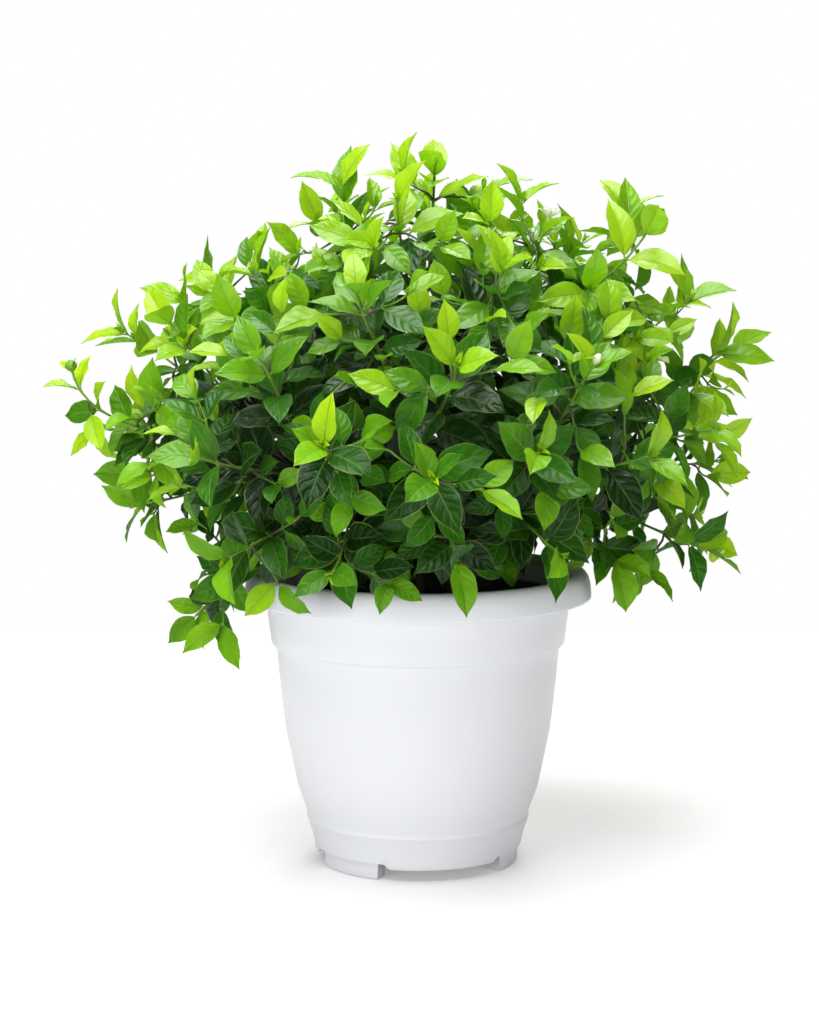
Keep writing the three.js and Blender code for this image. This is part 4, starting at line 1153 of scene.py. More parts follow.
# %% Leaves
# Colours by age and painted shade: the dark end is old leaves and also painted shade on leaves below and
# inside the bush, and the light end is young leaves and painted light.
LEAF_AGE_AND_SHADE_COLOURS = [(0, (0.45, 0.68, 0.012)), (0.3, (0.19, 0.45, 0.008)), (0.6, (0.034, 0.17, 0.005)),
                (1, (0.005, 0.036, 0.0012))]
SHINE_THROUGH = [(0, (0.62, 0.88, 0.03)), (0.5, (0.24, 0.56, 0.015)), (1, (0.02, 0.1, 0.004))]
VEIN_COLOURS = [(0, (0.22, 0.42, 0.01)), (0.4, (0.22, 0.42, 0.04)), (1, (0.10, 0.24, 0.05))]
UNDERSIDE_COLOUR = (0.16, 0.33, 0.08, 1)
MARGIN_COLOUR = (0.36, 0.54, 0.13, 1)
TONE_SPREAD = 0.44
MOTTLE_SPREAD = 0.1
MIDRIB_SHOWS = 0.75
SIDE_VEINS_SHOW = 0.4
MARGIN_SHOWS = 0.6
UNDERSIDE_SHOWS = 0.45
RELIEF_YOUNG = 0.35
RELIEF_BY_AGE = 0.9
RELIEF_DEPTH = 0.0008
ROUGHER_UNDER = 0.3
ROUGHER_MOTTLE = 0.08


def leaf_material(name, roughness, specular, shine_through):
    material, tree = new_material(name)
    veins = use_group(tree, LEAF_VEINS)
    shade = use_group(tree, MOTTLE, {"Scale": 55})["Shade"]
    under = attribute(tree, "underside")
    toned = sums(tree, "MULTIPLY_ADD", attribute(tree, "tone"), TONE_SPREAD, -TONE_SPREAD / 2)
    # The number read here is the leaf's age together with painted light and shade. The ramp below turns it
    # into colour.
    aged_and_shaded = sums(tree, "ADD", attribute(tree, "age"), toned)
    lowest = sums(tree, "SUBTRACT", aged_and_shaded, MOTTLE_SPREAD / 2)
    age = sums(tree, "MULTIPLY_ADD", shade, MOTTLE_SPREAD, lowest)
    blade = ramp(tree, age, LEAF_AGE_AND_SHADE_COLOURS)
    vein_share = sums(tree, "MAXIMUM", sums(tree, "MULTIPLY", veins["Midrib"], MIDRIB_SHOWS),
                      sums(tree, "MULTIPLY", veins["Side Veins"], SIDE_VEINS_SHOW))
    veined = mixed(tree, vein_share, blade, ramp(tree, age, VEIN_COLOURS))
    edged = mixed(tree, sums(tree, "MULTIPLY", veins["Margin"], MARGIN_SHOWS), veined, MARGIN_COLOUR)
    colour = mixed(tree, sums(tree, "MULTIPLY", under, UNDERSIDE_SHOWS), edged, UNDERSIDE_COLOUR)
    depth = sums(tree, "MULTIPLY_ADD", age, RELIEF_BY_AGE, RELIEF_YOUNG)
    relief = sums(tree, "MULTIPLY", veins["Height"], depth)
    bump = node(tree, "ShaderNodeBump", {"Height": relief, "Strength": 0.75, "Distance": RELIEF_DEPTH})
    mottled = sums(tree, "MULTIPLY_ADD", shade, ROUGHER_MOTTLE, roughness)
    gloss = sums(tree, "MULTIPLY_ADD", under, ROUGHER_UNDER, mottled)
    body = node(tree, "ShaderNodeBsdfPrincipled", {"Base Color": colour, "Roughness": gloss,
                                                   "Specular IOR Level": specular,
                                                   "Normal": bump.outputs[0]})
    light = ramp(tree, age, SHINE_THROUGH)
    through = node(tree, "ShaderNodeBsdfTranslucent", {"Color": light, "Normal": bump.outputs[0]})
    both = node(tree, "ShaderNodeMixShader", {0: shine_through, 1: body.outputs[0], 2: through.outputs[0]})
    finish_material(tree, both.outputs[0])
    return material


LEAF_MATERIALS = {"leaf_young": leaf_material("young leaf", 0.3, 0.95, 0.5),
                  "leaf_mid": leaf_material("grown leaf", 0.3, 0.65, 0.42),
                  "leaf_old": leaf_material("old leaf", 0.32, 0.26, 0.3)}

# %% Bark, green twigs and petals
BARK_COLOURS = [(0, (0.14, 0.31, 0.02)), (0.35, (0.07, 0.12, 0.02)), (0.65, (0.075, 0.05, 0.025)),
                (1, (0.07, 0.05, 0.035))]
PETAL_COLOURS = [(0, (0.86, 0.87, 0.82)), (0.45, (0.72, 0.78, 0.4)), (1, (0.3, 0.45, 0.05))]


def bark_material():
    material, tree = new_material("twigs and bark")
    shade = use_group(tree, MOTTLE, {"Scale": 240})["Shade"]
    age = sums(tree, "MULTIPLY_ADD", shade, 0.2, sums(tree, "SUBTRACT", attribute(tree, "age"), 0.1))
    bump = node(tree, "ShaderNodeBump", {"Height": shade, "Strength": 0.6, "Distance": 0.0005})
    body = node(tree, "ShaderNodeBsdfPrincipled", {"Base Color": ramp(tree, age, BARK_COLOURS),
                                                   "Roughness": 0.62, "Normal": bump.outputs[0]})
    finish_material(tree, body.outputs[0])
    return material


def petal_material():
    material, tree = new_material("jasmine petal")
    colour = ramp(tree, attribute(tree, "age"), PETAL_COLOURS)
    body = node(tree, "ShaderNodeBsdfPrincipled", {"Base Color": colour, "Roughness": 0.45})
    through = node(tree, "ShaderNodeBsdfTranslucent", {"Color": colour})
    both = node(tree, "ShaderNodeMixShader", {0: 0.3, 1: body.outputs[0], 2: through.outputs[0]})
    finish_material(tree, both.outputs[0])
    return material


BARK = bark_material()
PETAL = petal_material()
print("materials so far:", [material.name for material in (*LEAF_MATERIALS.values(), BARK, PETAL)])

# %% [markdown]
# ## Build the shoots
#
# Each shoot of the fixed model gets one fine piece: its twig, its leaves, and the side twigs that grow
# on it. The main leaves are the same ones as before. Leaves near the tip are younger than the ones
# behind them.

# %% Leaves and twigs of a shoot
YOUNGER_BY = [0.32, 0.08, -0.04]
DULLER_BY = 0.1
SIDE_TWIG_RADII = (1.15, 0.75)
TWIG_BASE_AGE = 0.7
YOUNG_TIP = 0.5


def leaf_age_and_shade(grown, leaf, looseness):
    rank = leaf["pair"]
    younger = YOUNGER_BY[rank] if rank < len(YOUNGER_BY) else -DULLER_BY * (rank - 2)
    # The leaf's place adds painted light at the top, the skin and the sides, and painted shade below and
    # inside.
    return clamp(age_and_shade_at(mid_leaf(leaf), looseness) - younger)


def add_leaves(skins, grown, draw):
    for leaf in grown.leaves:
        add_leaf(skins, leaf, leaf_age_and_shade(grown, leaf, draw(-0.12, 0.12)), draw(0, 1))


def add_side_twigs(skins, carrier):
    for twig in side_twigs:
        if twig.carrier is carrier:
            draw = draws(twig.number * 7)
            add_twig(skins, twig, 0, *SIDE_TWIG_RADII, 6, TWIG_BASE_AGE, draw(0, 1))
            add_leaves(skins, twig, draw)
            if twig.age < YOUNG_TIP:
                add_newest(skins, twig, draw, NEWEST_SIZES[:1])


def slot_of(node_name):
    return next(row["material_slot"] for row in frame["record"]["subparts"] if row["node"] == node_name)


# %% A bud that is still green
GREEN_BUD = [(-6.5, 0.9), (-5.2, 1.6), (-3.5, 3.6), (-1.5, 5.3), (0.8, 5.9), (3, 5.2), (4.8, 3.5),
             (5.9, 1.4)]


def add_profile(skins, station, profile, sides, slot, ages):
    """A round body along a station's heading: (distance, radius) from its foot to its tip, with the
    numbers that set the colour of its two ends."""
    place, heading, side, other = station
    stations = [(place + heading * distance, heading, side, other) for distance, _ in profile]
    radii = [radius for _, radius in profile]
    add_tube(skins, stations, radii, sides, slot, np.linspace(*ages, len(profile)))


def add_green_bud(skins, shoot):
    """A round bud on a short stalk, still closed and green."""
    station = shoot.route.station(shoot.route.length)
    add_profile(skins, station, GREEN_BUD, 14, WOOD_SLOT, (GREEN_WOOD, GREEN_WOOD))


# %% A bud between two cupped leaves
CUPPED_BEHIND = 38
CUPPED_OFFSET = vec(-21, -8, 2)
CUPPED_STEPS = 8
CUPPED_STALK_RADII = (1.0, 0.8)
CUPPED_BUD = [(-1, 0.8), (0.8, 2), (2.6, 2.8), (4.4, 2.5), (5.8, 1.3), (6.4, 0.3)]
CUPPED_LEAVES = [(math.radians(150), 0.3, 29), (math.radians(-15), 1.15, 29)]
PALE_BUD = -0.3


def add_cupped_pair(skins, shoot):
    """A side stalk by the white bud: a green bud between two young leaves that still cup it."""
    start, start_heading = shoot.route.station(shoot.route.length - CUPPED_BEHIND)[:2]
    tip = shoot.route.place(shoot.route.length) + CUPPED_OFFSET
    route = Route(start, start_heading, tip, unit(UP + FRONT * 0.3), 0.3, 0.35)
    stations = [route.station(distance) for distance in np.linspace(0, route.length, CUPPED_STEPS)]
    radii = np.linspace(*CUPPED_STALK_RADII, CUPPED_STEPS)
    add_tube(skins, stations, radii, 6, WOOD_SLOT, np.full(CUPPED_STEPS, GREEN_WOOD))
    add_profile(skins, stations[-1], CUPPED_BUD, 12, WOOD_SLOT, (PALE_BUD, PALE_BUD))
    place, heading = stations[-1][:2]
    for clock, spread, length in CUPPED_LEAVES:
        ahead, up = around(heading, square(TO_THE_RIGHT, heading), square(FRONT, heading), clock, spread)
        leaf = small_blade(place, ahead, up, length, 1.05, 0.9, 0.5)
        skins.add(blade_points(leaf), BLADE_FACES, LEAF, 0, 0.15, BLADE_PLACES, BLADE_UNDERS)


# %% Make the shoots
def triangles(pieces):
    """How many triangles some pieces are made of. A face with n corners counts as n - 2."""
    meshes = [piece.data for piece in pieces]
    return sum(len(mesh.loops) - 2 * len(mesh.polygons) for mesh in meshes)


def make_shoot(shoot):
    name = "shoot_" + shoot.name
    skins = Skins()
    draw = draws(shoot.number * 13)
    add_twig(skins, shoot, shoot.wood_length - TWIG_SINK, TWIG_RADIUS, TWIG_TIP_RADIUS, 8,
             0.45 + 0.3 * shoot.age, 0.5)
    add_leaves(skins, shoot, draw)
    if shoot.flower == "green":
        add_green_bud(skins, shoot)
    elif not shoot.flower:
        add_newest(skins, shoot, draw, NEWEST_SIZES)
    if shoot.flower == "bud":
        add_cupped_pair(skins, shoot)
    add_side_twigs(skins, shoot)
    piece = skins.object(name + "_leaves", [LEAF_MATERIALS[slot_of(name)], BARK])
    tell(piece, slot_of(name), name)
    return piece


shoot_pieces = [make_shoot(shoot) for shoot in shoots]
print("triangles in the shoots:", triangles(shoot_pieces))

# %% [markdown]
# ## Build the stems
#
# Under the leaves nine woody stems stand in the soil and fork. Their bark is rough and their girth
# uneven. The side twigs that start from the bare wood inside the bush become a piece of their own for
# each stem, because the fixed model has none there.

# %% Uneven wood
WOOD_RING_STEP = 9
UNEVEN = 0.07
OLD_WOOD = 0.9


def stem_radius(share):
    return blend(STEM_RADIUS, STEM_END_RADIUS, share)


def uneven(radius, distance, phase):
    return radius * (1 + UNEVEN * math.sin(distance / 7 + phase) * math.sin(distance / 17 + 2 * phase))


def add_wood(skins, route, radius_at, end, sides, phase, lead=()):
    """A length of wood along a route, after any stations that lead up to it."""
    distances = np.linspace(0, end, max(3, int(end / WOOD_RING_STEP)))
    stations = list(lead) + [route.station(distance) for distance in distances]
    radii = [STEM_RADIUS] * len(lead)
    radii += [uneven(radius_at(distance / end), distance, phase) if distance else radius_at(0)
              for distance in distances]
    add_tube(skins, stations, radii, sides, 0, np.full(len(radii), OLD_WOOD))


# %% Make the stems
STEM_FINE_SIDES = 12
BRANCH_FINE_SIDES = 8


def make_stem(stem):
    name = "stem_" + stem.name
    skins = Skins()
    foot = stem.foot.copy()
    lead = []
    for depth in (STEM_DEPTH, 20, 0):
        foot[2] = SOIL_TOP - depth
        lead.append(upright(foot.copy()))
    add_wood(skins, stem.route, stem_radius, stem.route.length, STEM_FINE_SIDES, stem.number, lead)
    for shoot in shoots:
        if shoot.carrier is stem:
            start = BRANCH_THINNING * stem_radius(shoot.share)
            add_wood(skins, shoot.route, lambda share: blend(start, BRANCH_END_RADIUS, share),
                     shoot.wood_length - 0.4, BRANCH_FINE_SIDES, shoot.number)
    piece = skins.object(name + "_wood", [BARK])
    tell(piece, "bark", name)
    return piece


def make_inner(stem):
    skins = Skins()
    add_side_twigs(skins, stem)
    if not skins.count:
        return None
    piece = skins.object("inner_" + stem.name, [LEAF_MATERIALS["leaf_old"], BARK])
    tell(piece, "leaf_old")
    return piece


stem_pieces = [make_stem(stem) for stem in stems]
inner_pieces = [piece for piece in map(make_inner, stems) if piece]
print("triangles in the stems:", triangles(stem_pieces))
print("pieces of inner twigs:", len(inner_pieces), "triangles:", triangles(inner_pieces))

# %% [markdown]
# ## The flowers
#
# One flower is half open: a slender pale green tube out of a calyx with thin pointed lobes, and narrow
# white petals above it. Three slender closed buds stand on thin stalks on the twig under it. On the
# right another shoot ends in a fat bud, white with a yellow-green foot, and just behind that a second
# bud sits between two cupped young leaves. A petal is a small blade of the same kind as a leaf, cupped
# and without veins.

# %% Petals and buds
PETAL_THICKNESS = 5
FLOWER_LIFT = 0.6


def add_petal(skins, petal, age):
    """A petal runs from white at its tip to yellow-green at its foot."""
    ages = age + 0.45 * np.clip(1 - 5 * BLADE_PLACES[:, 1], 0, 1)
    points = blade_points(petal, PETAL_THICKNESS, 0.1)
    skins.add(points, BLADE_FACES, 0, ages, 0.5, BLADE_PLACES, BLADE_UNDERS)


def add_calyx(skins, station, count, lift, spread, shape):
    """Green pointed lobes round the foot of a flower. shape is their length, breadth, bend and fold."""
    place, heading, side, other = station
    for k in range(count):
        ahead, up = around(heading, side, other, 2 * math.pi * k / count, spread)
        points = blade_points(small_blade(place + heading * lift, ahead, up, *shape), PETAL_THICKNESS, 0)
        skins.add(points, BLADE_FACES, 0, 1, 0.5, BLADE_PLACES, BLADE_UNDERS)


# %% The open flower
FLOWER_TUBE = [(-0.6, 0.9), (1, 1.5), (2.6, 1.6), (3.2, 1.15), (7, 1.2), (11, 1.5), (12.4, 1.9)]
PETAL_RINGS = [(6, 0.72, 16.0, 0.46, 0.0), (5, 0.4, 14.5, 0.48, 0.5), (3, 0.14, 11.5, 0.5, 0.2)]
PETALS_AT = 12.2
# How many lobes a calyx has, how high they start, how far they lean out, and their shape
CALYX = (7, 2.4, 0.3, (7, 0.22, 0.35, 0.3))


def make_open_flower(shoot):
    skins = Skins()
    draw = draws(701)
    place, heading, side, other = shoot.route.station(shoot.route.length)
    station = (place + heading * FLOWER_LIFT, heading, side, other)
    add_profile(skins, station, FLOWER_TUBE, 12, 0, (1.0, 0.3))
    for count, spread, length, breadth, turned in PETAL_RINGS:
        for k in range(count):
            clock = 2 * math.pi * (k + turned) / count + draw(-0.15, 0.15)
            ahead, up = around(heading, side, other, clock, spread + draw(-0.1, 0.16))
            start = place + heading * PETALS_AT
            petal = small_blade(start, ahead, up, length * draw(0.86, 1.1), breadth, draw(0.3, 0.75), 0.4)
            add_petal(skins, petal, 0)
    add_calyx(skins, (place, heading, side, other), *CALYX)
    piece = skins.object("flower_open_petals", [PETAL])
    tell(piece, "petal", "flower_open")
    return piece


# %% Three slender buds
SIDE_BUD = [(-0.4, 0.7), (1.2, 1.2), (2.4, 1.25), (3.6, 0.9), (7, 0.95), (10, 1.5), (13, 1.9),
            (15.5, 1.5), (17.2, 0.5)]
SIDE_BUDS = [(24, 2.6, 0.45), (32, 3.6, 0.7), (46, 2.9, 0.6)]
BUD_STALK = 7
BUD_STALK_RADIUS = 0.55


def make_side_buds(shoot):
    """Slender closed buds on thin stalks, on the twig under the open flower."""
    skins = Skins()
    for behind, clock, spread in SIDE_BUDS:
        place, heading = shoot.route.station(shoot.route.length - behind)[:2]
        ahead, up = around(heading, square(TO_THE_RIGHT, heading), square(FRONT, heading), clock, spread)
        across = np.cross(ahead, up)
        stalk = [(place + ahead * reach, ahead, up, across) for reach in (0, BUD_STALK)]
        add_tube(skins, stalk, [BUD_STALK_RADIUS] * 2, 6, 0, np.array([1.0, 1.0]))
        add_profile(skins, (place + ahead * BUD_STALK, ahead, up, across), SIDE_BUD, 10, 0, (0.9, -0.2))
    tell(skins.object("flower_side_buds", [PETAL]), "petal")


# %% The closed bud
BUD_PROFILE = [(0, 0.9), (0.5, 1.2), (1.6, 1.7), (3.0, 2.8), (4.6, 3.5), (6.4, 3.9), (8.2, 3.8), (10, 3.2),
               (11.6, 2.2), (12.7, 1.0), (13, 0.35)]
BUD_CALYX = (5, 1.2, 0.55, (5.5, 0.3, 0.2, 0.3))


def make_flower_bud(shoot):
    skins = Skins()
    place, heading, side, other = shoot.route.station(shoot.route.length)
    station = (place + heading * FLOWER_LIFT, heading, side, other)
    add_profile(skins, station, BUD_PROFILE, 20, 0, (1.0, -0.15))
    add_calyx(skins, (place, heading, side, other), *BUD_CALYX)
    piece = skins.object("flower_bud_petals", [PETAL])
    tell(piece, "petal", "flower_bud")
    return piece


# %% Make the flowers
def farthest_apart(piece, node_name):
    """The greatest difference between a piece's box and its node's, in millimetres."""
    corners = [Vector(corner) for corner in piece.bound_box]
    low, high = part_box(node_name)
    gaps = [abs(min(corner[k] for corner in corners) - low[k]) for k in range(3)]
    gaps += [abs(max(corner[k] for corner in corners) - high[k]) for k in range(3)]
    return 1000 * max(gaps)


open_shoot = next(shoot for shoot in shoots if shoot.flower == "open")
bud_shoot = next(shoot for shoot in shoots if shoot.flower == "bud")
flower_pieces = [make_open_flower(open_shoot), make_flower_bud(bud_shoot)]
make_side_buds(open_shoot)
print("flowers differ from their nodes by at most, mm:",
      round(farthest_apart(flower_pieces[0], "flower_open"), 1),
      round(farthest_apart(flower_pieces[1], "flower_bud"), 1))

# %% [markdown]
# ## The pot
#
# The pot is one moulding of white plastic with walls a few millimetres thick. Its lip rolls outwards
# and down, a collar runs below, the body tapers to a stepped base band, and the skirt below is notched
# over each of three feet. It is turned from one profile, point by point round the axis, so the skirt
# can rise over a foot. A screw modifier would turn the profile as well, but all the way round alike.

# %% The pot's profile
POT_SEGMENTS = 256
POT_OUTSIDE = [(98.2, 12), (99.9, 12), (100.6, 13), (101.2, 16.5), (103, 26), (108, 42.2), (108.7, 43.4),
               (108.5, 44.6), (107.8, 45.8), (107.6, 46.8), (107.9, 48), (112.6, 61), (117.5, 75),
               (123.5, 103), (129, 130), (132.2, 157), (135, 183), (136.3, 198), (137.4, 211.6),
               (137.7, 212.6), (139.2, 213.3), (141.8, 215.2), (142.6, 216.9), (144.2, 232), (146, 248),
               (147.6, 262), (148.2, 270)]
POT_LIP = [(148.9, 276.4), (150.4, 279.2), (153.6, 280.9), (158.6, 281), (160.6, 279.4), (161.9, 274.5),
           (164.3, 262.6), (165.2, 260.4), (166.8, 259.7), (167.9, 260.8), (168, 263), (167.6, 268),
           (166.9, 273.5), (165.2, 279.6), (162.6, 283.2), (159, 285.2), (155.6, 285.4), (152.4, 284),
           (149.8, 280.6), (147.9, 275.8)]
POT_INSIDE = [(144.9, 258), (142.4, 238), (140.4, 219.5), (138.6, 215.6), (135.4, 212.6), (133.8, 198),
              (132.4, 183), (126.4, 130), (115, 75), (100.6, 28), (99.4, 21.5), (97, 19.5)]
POT_UNDERSIDE = [(97.6, 17), (98, 16)]


# %% Turned bodies
def turned_body(profile, segments, lift=None):
    """A closed body turned about the axis. The profile goes round once, from underside axis to
    top axis or back; lift moves a point (radius, height) at each angle."""
    angles = 2 * math.pi * np.arange(segments) / segments
    radii = np.array([point[0] for point in profile])[:, None]
    heights = np.array([point[1] for point in profile])[:, None] + np.zeros(segments)
    if lift is not None:
        heights = lift(radii, heights, angles)
    points = np.stack([radii * np.cos(angles), radii * np.sin(angles), heights], 2).reshape(-1, 3)
    k = np.arange(segments)
    after = (k + 1) % segments
    faces = []
    for ring in range(len(profile) - 1):
        a, b = ring * segments + k, ring * segments + after
        faces += [np.stack([a, b, b + segments], 1), np.stack([a, b + segments, a + segments], 1)]
    first, last = len(points), len(points) + 1
    middle = [[0, 0, heights[0].mean()], [0, 0, heights[-1].mean()]]
    top = (len(profile) - 1) * segments
    faces += [np.stack([np.full(segments, first), after, k], 1),
              np.stack([np.full(segments, last), top + k, top + after], 1)]
    return np.concatenate([points, middle]), np.concatenate(faces)


# %% Feet
FOOT_ANGLES = [math.radians(angle) for angle in (-135, -15, 105)]
FOOT_SPREAD = math.radians(44)
FOOT_SECTION = [(80, 18), (80, 2.5), (81, 0.8), (83, 0), (94.6, 0), (96.6, 0.8), (97.6, 2.5), (97.6, 18)]
FOOT_STEPS = 30
FOOT_DRAWN_IN = 0.03
FOOT_ROUND = 6


def foot_body(angle):
    """An arc of rounded section under the floor, its ends drawn in a little at the bottom."""
    points = []
    for step in range(FOOT_STEPS + 1):
        share = 2 * step / FOOT_STEPS - 1
        for radius, height in FOOT_SECTION:
            draw_in = FOOT_DRAWN_IN * clamp(1 - height / FOOT_ROUND)
            place = angle + share * FOOT_SPREAD / 2 * (1 - draw_in)
            points.append((radius * math.cos(place), radius * math.sin(place), height))
    size = len(FOOT_SECTION)
    faces = []
    for step in range(FOOT_STEPS):
        for k in range(size):
            a, b = step * size + k, step * size + (k + 1) % size
            faces += [(a, b + size, b), (a, a + size, b + size)]
    last = FOOT_STEPS * size
    faces += [(0, k, k + 1) for k in range(1, size - 1)]
    faces += [(last, last + k + 1, last + k) for k in range(1, size - 1)]
    return np.array(points), np.array(faces)


# %% Cutting and joining
def cylinders(rows, sides):
    """Upright cylinders as cutters: x, y, lowest, highest, radius."""
    skins = Skins()
    for x, y, low, high, radius in rows:
        ends = [upright(vec(x, y, low)), upright(vec(x, y, high))]
        add_tube(skins, ends, [radius] * 2, sides, 0, np.zeros(2))
    return skins.object("cutter", [])


def carve(piece, cutter, operation="DIFFERENCE"):
    """Cuts or joins another mesh and keeps the result as the piece's own mesh."""
    change = piece.modifiers.new("carve", "BOOLEAN")
    change.operation = operation
    change.object = cutter
    change.solver = "EXACT"
    bpy.context.view_layer.update()
    done = piece.evaluated_get(bpy.context.evaluated_depsgraph_get())
    mesh = bpy.data.meshes.new_from_object(done)
    piece.modifiers.clear()
    old = piece.data
    piece.data = mesh
    bpy.data.meshes.remove(old)
    bpy.data.objects.remove(cutter)


# %% Notches over the feet
SKIRT_BOTTOM = 12
SKIRT_INSIDE = 97
NOTCH_TOP = 16.6
NOTCH_EASE = 0.4
NOTCH_SPREAD = math.radians(58)
NOTCH_RAMP = math.radians(3)


def notch_share(angles, feet, width, ramp_width):
    """1 over each foot and 0 away from it, with a short ramp between."""
    share = np.zeros_like(angles)
    for foot in feet:
        off = np.abs((angles - foot + math.pi) % (2 * math.pi) - math.pi)
        share = np.maximum(share, np.clip((width / 2 - off) / ramp_width, 0, 1))
    return share


def lift_over_feet(radii, heights, angles):
    """Raises the skirt's edge over each foot."""
    share = notch_share(angles, FOOT_ANGLES, NOTCH_SPREAD, NOTCH_RAMP)
    rise = NOTCH_TOP - SKIRT_BOTTOM
    near_edge = np.where(radii > SKIRT_INSIDE, np.clip((NOTCH_TOP + NOTCH_EASE - heights) / rise, 0, 1), 0)
    return heights + share * near_edge * rise


# %% Make the pot
POT_COLOUR = (0.71, 0.72, 0.75, 1)
POT_ROUGHNESS = 0.28
POT_SHARP = 32
DRAINS = 5
DRAIN_RING = 62
DRAIN_RADIUS = 6
DRAIN_SIDES = 32
DRAIN_CUT = (10, 25)


def pot_material():
    material, tree = new_material("white moulded plastic")
    shade = use_group(tree, MOTTLE, {"Scale": 14, "Detail": 1})["Shade"]
    gloss = sums(tree, "MULTIPLY_ADD", shade, 0.05, POT_ROUGHNESS)
    body = node(tree, "ShaderNodeBsdfPrincipled", {"Base Color": POT_COLOUR, "Roughness": gloss})
    finish_material(tree, body.outputs[0])
    return material


POT_PLASTIC = pot_material()


def make_pot():
    skins = Skins()
    profile = POT_UNDERSIDE + POT_OUTSIDE + POT_LIP + POT_INSIDE
    points, faces = turned_body(profile, POT_SEGMENTS, lift_over_feet)
    skins.add(points, faces, 0, 0)
    piece = skins.object("pot_moulding", [POT_PLASTIC])
    for angle in FOOT_ANGLES:
        foot = Skins()
        foot.add(*foot_body(angle), 0, 0)
        carve(piece, foot.object("foot", []), "UNION")
    holes = []
    for k in range(DRAINS):
        angle = math.pi / 2 - 2 * math.pi * k / DRAINS
        place = (DRAIN_RING * math.cos(angle), DRAIN_RING * math.sin(angle))
        holes.append((*place, *DRAIN_CUT, DRAIN_RADIUS))
    carve(piece, cylinders(holes, DRAIN_SIDES))
    piece.data.shade_smooth()
    piece.data.set_sharp_from_angle(angle=math.radians(POT_SHARP))
    tell(piece, "pot_plastic", "pot")
    return piece


pot_piece = make_pot()
print("the pot's triangles:", triangles([pot_piece]), "its box differs from its node's by, mm:",
      round(farthest_apart(pot_piece, "pot"), 2))

# %% [markdown]
# ## The soil
#
# Potting mix is dark, crumbly and a little sunken below the lip. The body of soil is turned like the
# pot and lifted into low humps, and crumbs lie on it. Each stem stands in a hole of its own.

# %% The top of the soil
SOIL_EDGE = 256
EDGE_FROM = 132
EDGE_WIDTH = 12.2


def soil_bump(x, y):
    return 1.6 * np.sin(x / 23 + 1) * np.cos(y / 19) + 0.9 * np.sin((x + y) / 11)


def soil_height(x, y):
    """The top of the soil: low humps, small grains, and an edge that dips to the pot."""
    out = np.sqrt(x * x + y * y)
    grain = 0.45 * np.sin(x * 0.9 + 3 * np.sin(y / 7)) * np.sin(y * 0.8 + 2 * np.sin(x / 9))
    edge = np.clip((out - EDGE_FROM) / EDGE_WIDTH, 0, 1)
    return SOIL_TOP + (soil_bump(x, y) + grain) * (1 - edge) - (SOIL_TOP - SOIL_EDGE) * edge


def lift_soil(radii, heights, angles):
    x, y = radii * np.cos(angles), radii * np.sin(angles)
    return np.where(heights > SOIL_EDGE, soil_height(x, y), heights)


# %% A crumb
CRUMB_REACH = 141
CRUMB_SIZES = (0.7, 2.6)


def add_crumb(skins, draw):
    out, angle = CRUMB_REACH * math.sqrt(draw(0, 1)), draw(0, 2 * math.pi)
    x, y = out * math.cos(angle), out * math.sin(angle)
    size = blend(*CRUMB_SIZES, draw(0, 1)**2)
    place = vec(x, y, float(soil_height(np.array(x), np.array(y))) - 0.3 * size)
    corners = [(0, 0, 1), (1, 0, 0), (0, 1, 0), (-1, 0, 0), (0, -1, 0), (0, 0, -1)]
    points = [place + size * draw(0.6, 1.2) * vec(*corner) + vec(draw(-0.3, 0.3), draw(-0.3, 0.3), 0) * size
              for corner in corners]
    faces = [(0, 1, 2), (0, 2, 3), (0, 3, 4), (0, 4, 1), (5, 2, 1), (5, 3, 2), (5, 4, 3), (5, 1, 4)]
    skins.add(np.array(points), np.array(faces), 0, draw(0, 1))


# %% Make the soil
SOIL_SEGMENTS = 160
SOIL_SIDE = [(99.15, 19.85), (100.15, 28), (114.65, 75), (126.05, 130), (132.05, 183), (134.75, 212),
             (139.85, 218), (144.2, 255.6)]
SOIL_RINGS = 34
TOP_RADII = (143.9, 3)
FIT_GAP = 0.35
HOLE_CLEARANCE = 0.42
HOLE_SIDES = 24
CRUMBS = 1500


def soil_material():
    material, tree = new_material("damp potting mix")
    shade = use_group(tree, MOTTLE, {"Scale": 300, "Detail": 6})["Shade"]
    colour = ramp(tree, shade, [(0, (0.008, 0.006, 0.004)), (0.55, (0.03, 0.02, 0.013)),
                                (1, (0.075, 0.052, 0.034))])
    bump = node(tree, "ShaderNodeBump", {"Height": shade, "Strength": 0.9, "Distance": 0.0016})
    body = node(tree, "ShaderNodeBsdfPrincipled", {"Base Color": colour, "Roughness": 0.92,
                                                   "Normal": bump.outputs[0]})
    finish_material(tree, body.outputs[0])
    return material


SOIL = soil_material()


def make_soil():
    skins = Skins()
    rings = [(radius, SOIL_EDGE + 1) for radius in np.linspace(*TOP_RADII, SOIL_RINGS)]
    skins.add(*turned_body(SOIL_SIDE + rings, SOIL_SEGMENTS, lift_soil), 0, 0.5)
    piece = skins.object("soil_filling", [SOIL])
    hole = STEM_RADIUS + HOLE_CLEARANCE
    carve(piece, cylinders([(*stem.foot[:2], SOIL_TOP - STEM_DEPTH - FIT_GAP, SOIL_TOP + 20, hole)
                            for stem in stems], HOLE_SIDES))
    tell(piece, "potting_soil", "soil")
    crumbs = Skins()
    draw = draws(911)
    for _ in range(CRUMBS):
        add_crumb(crumbs, draw)
    crumb_piece = crumbs.object("soil_crumbs", [SOIL], 20)
    tell(crumb_piece, "potting_soil")
    return piece, crumb_piece


soil_pieces = make_soil()
print("the soil's box differs from its node's by, mm:", round(farthest_apart(soil_pieces[0], "soil"), 2))

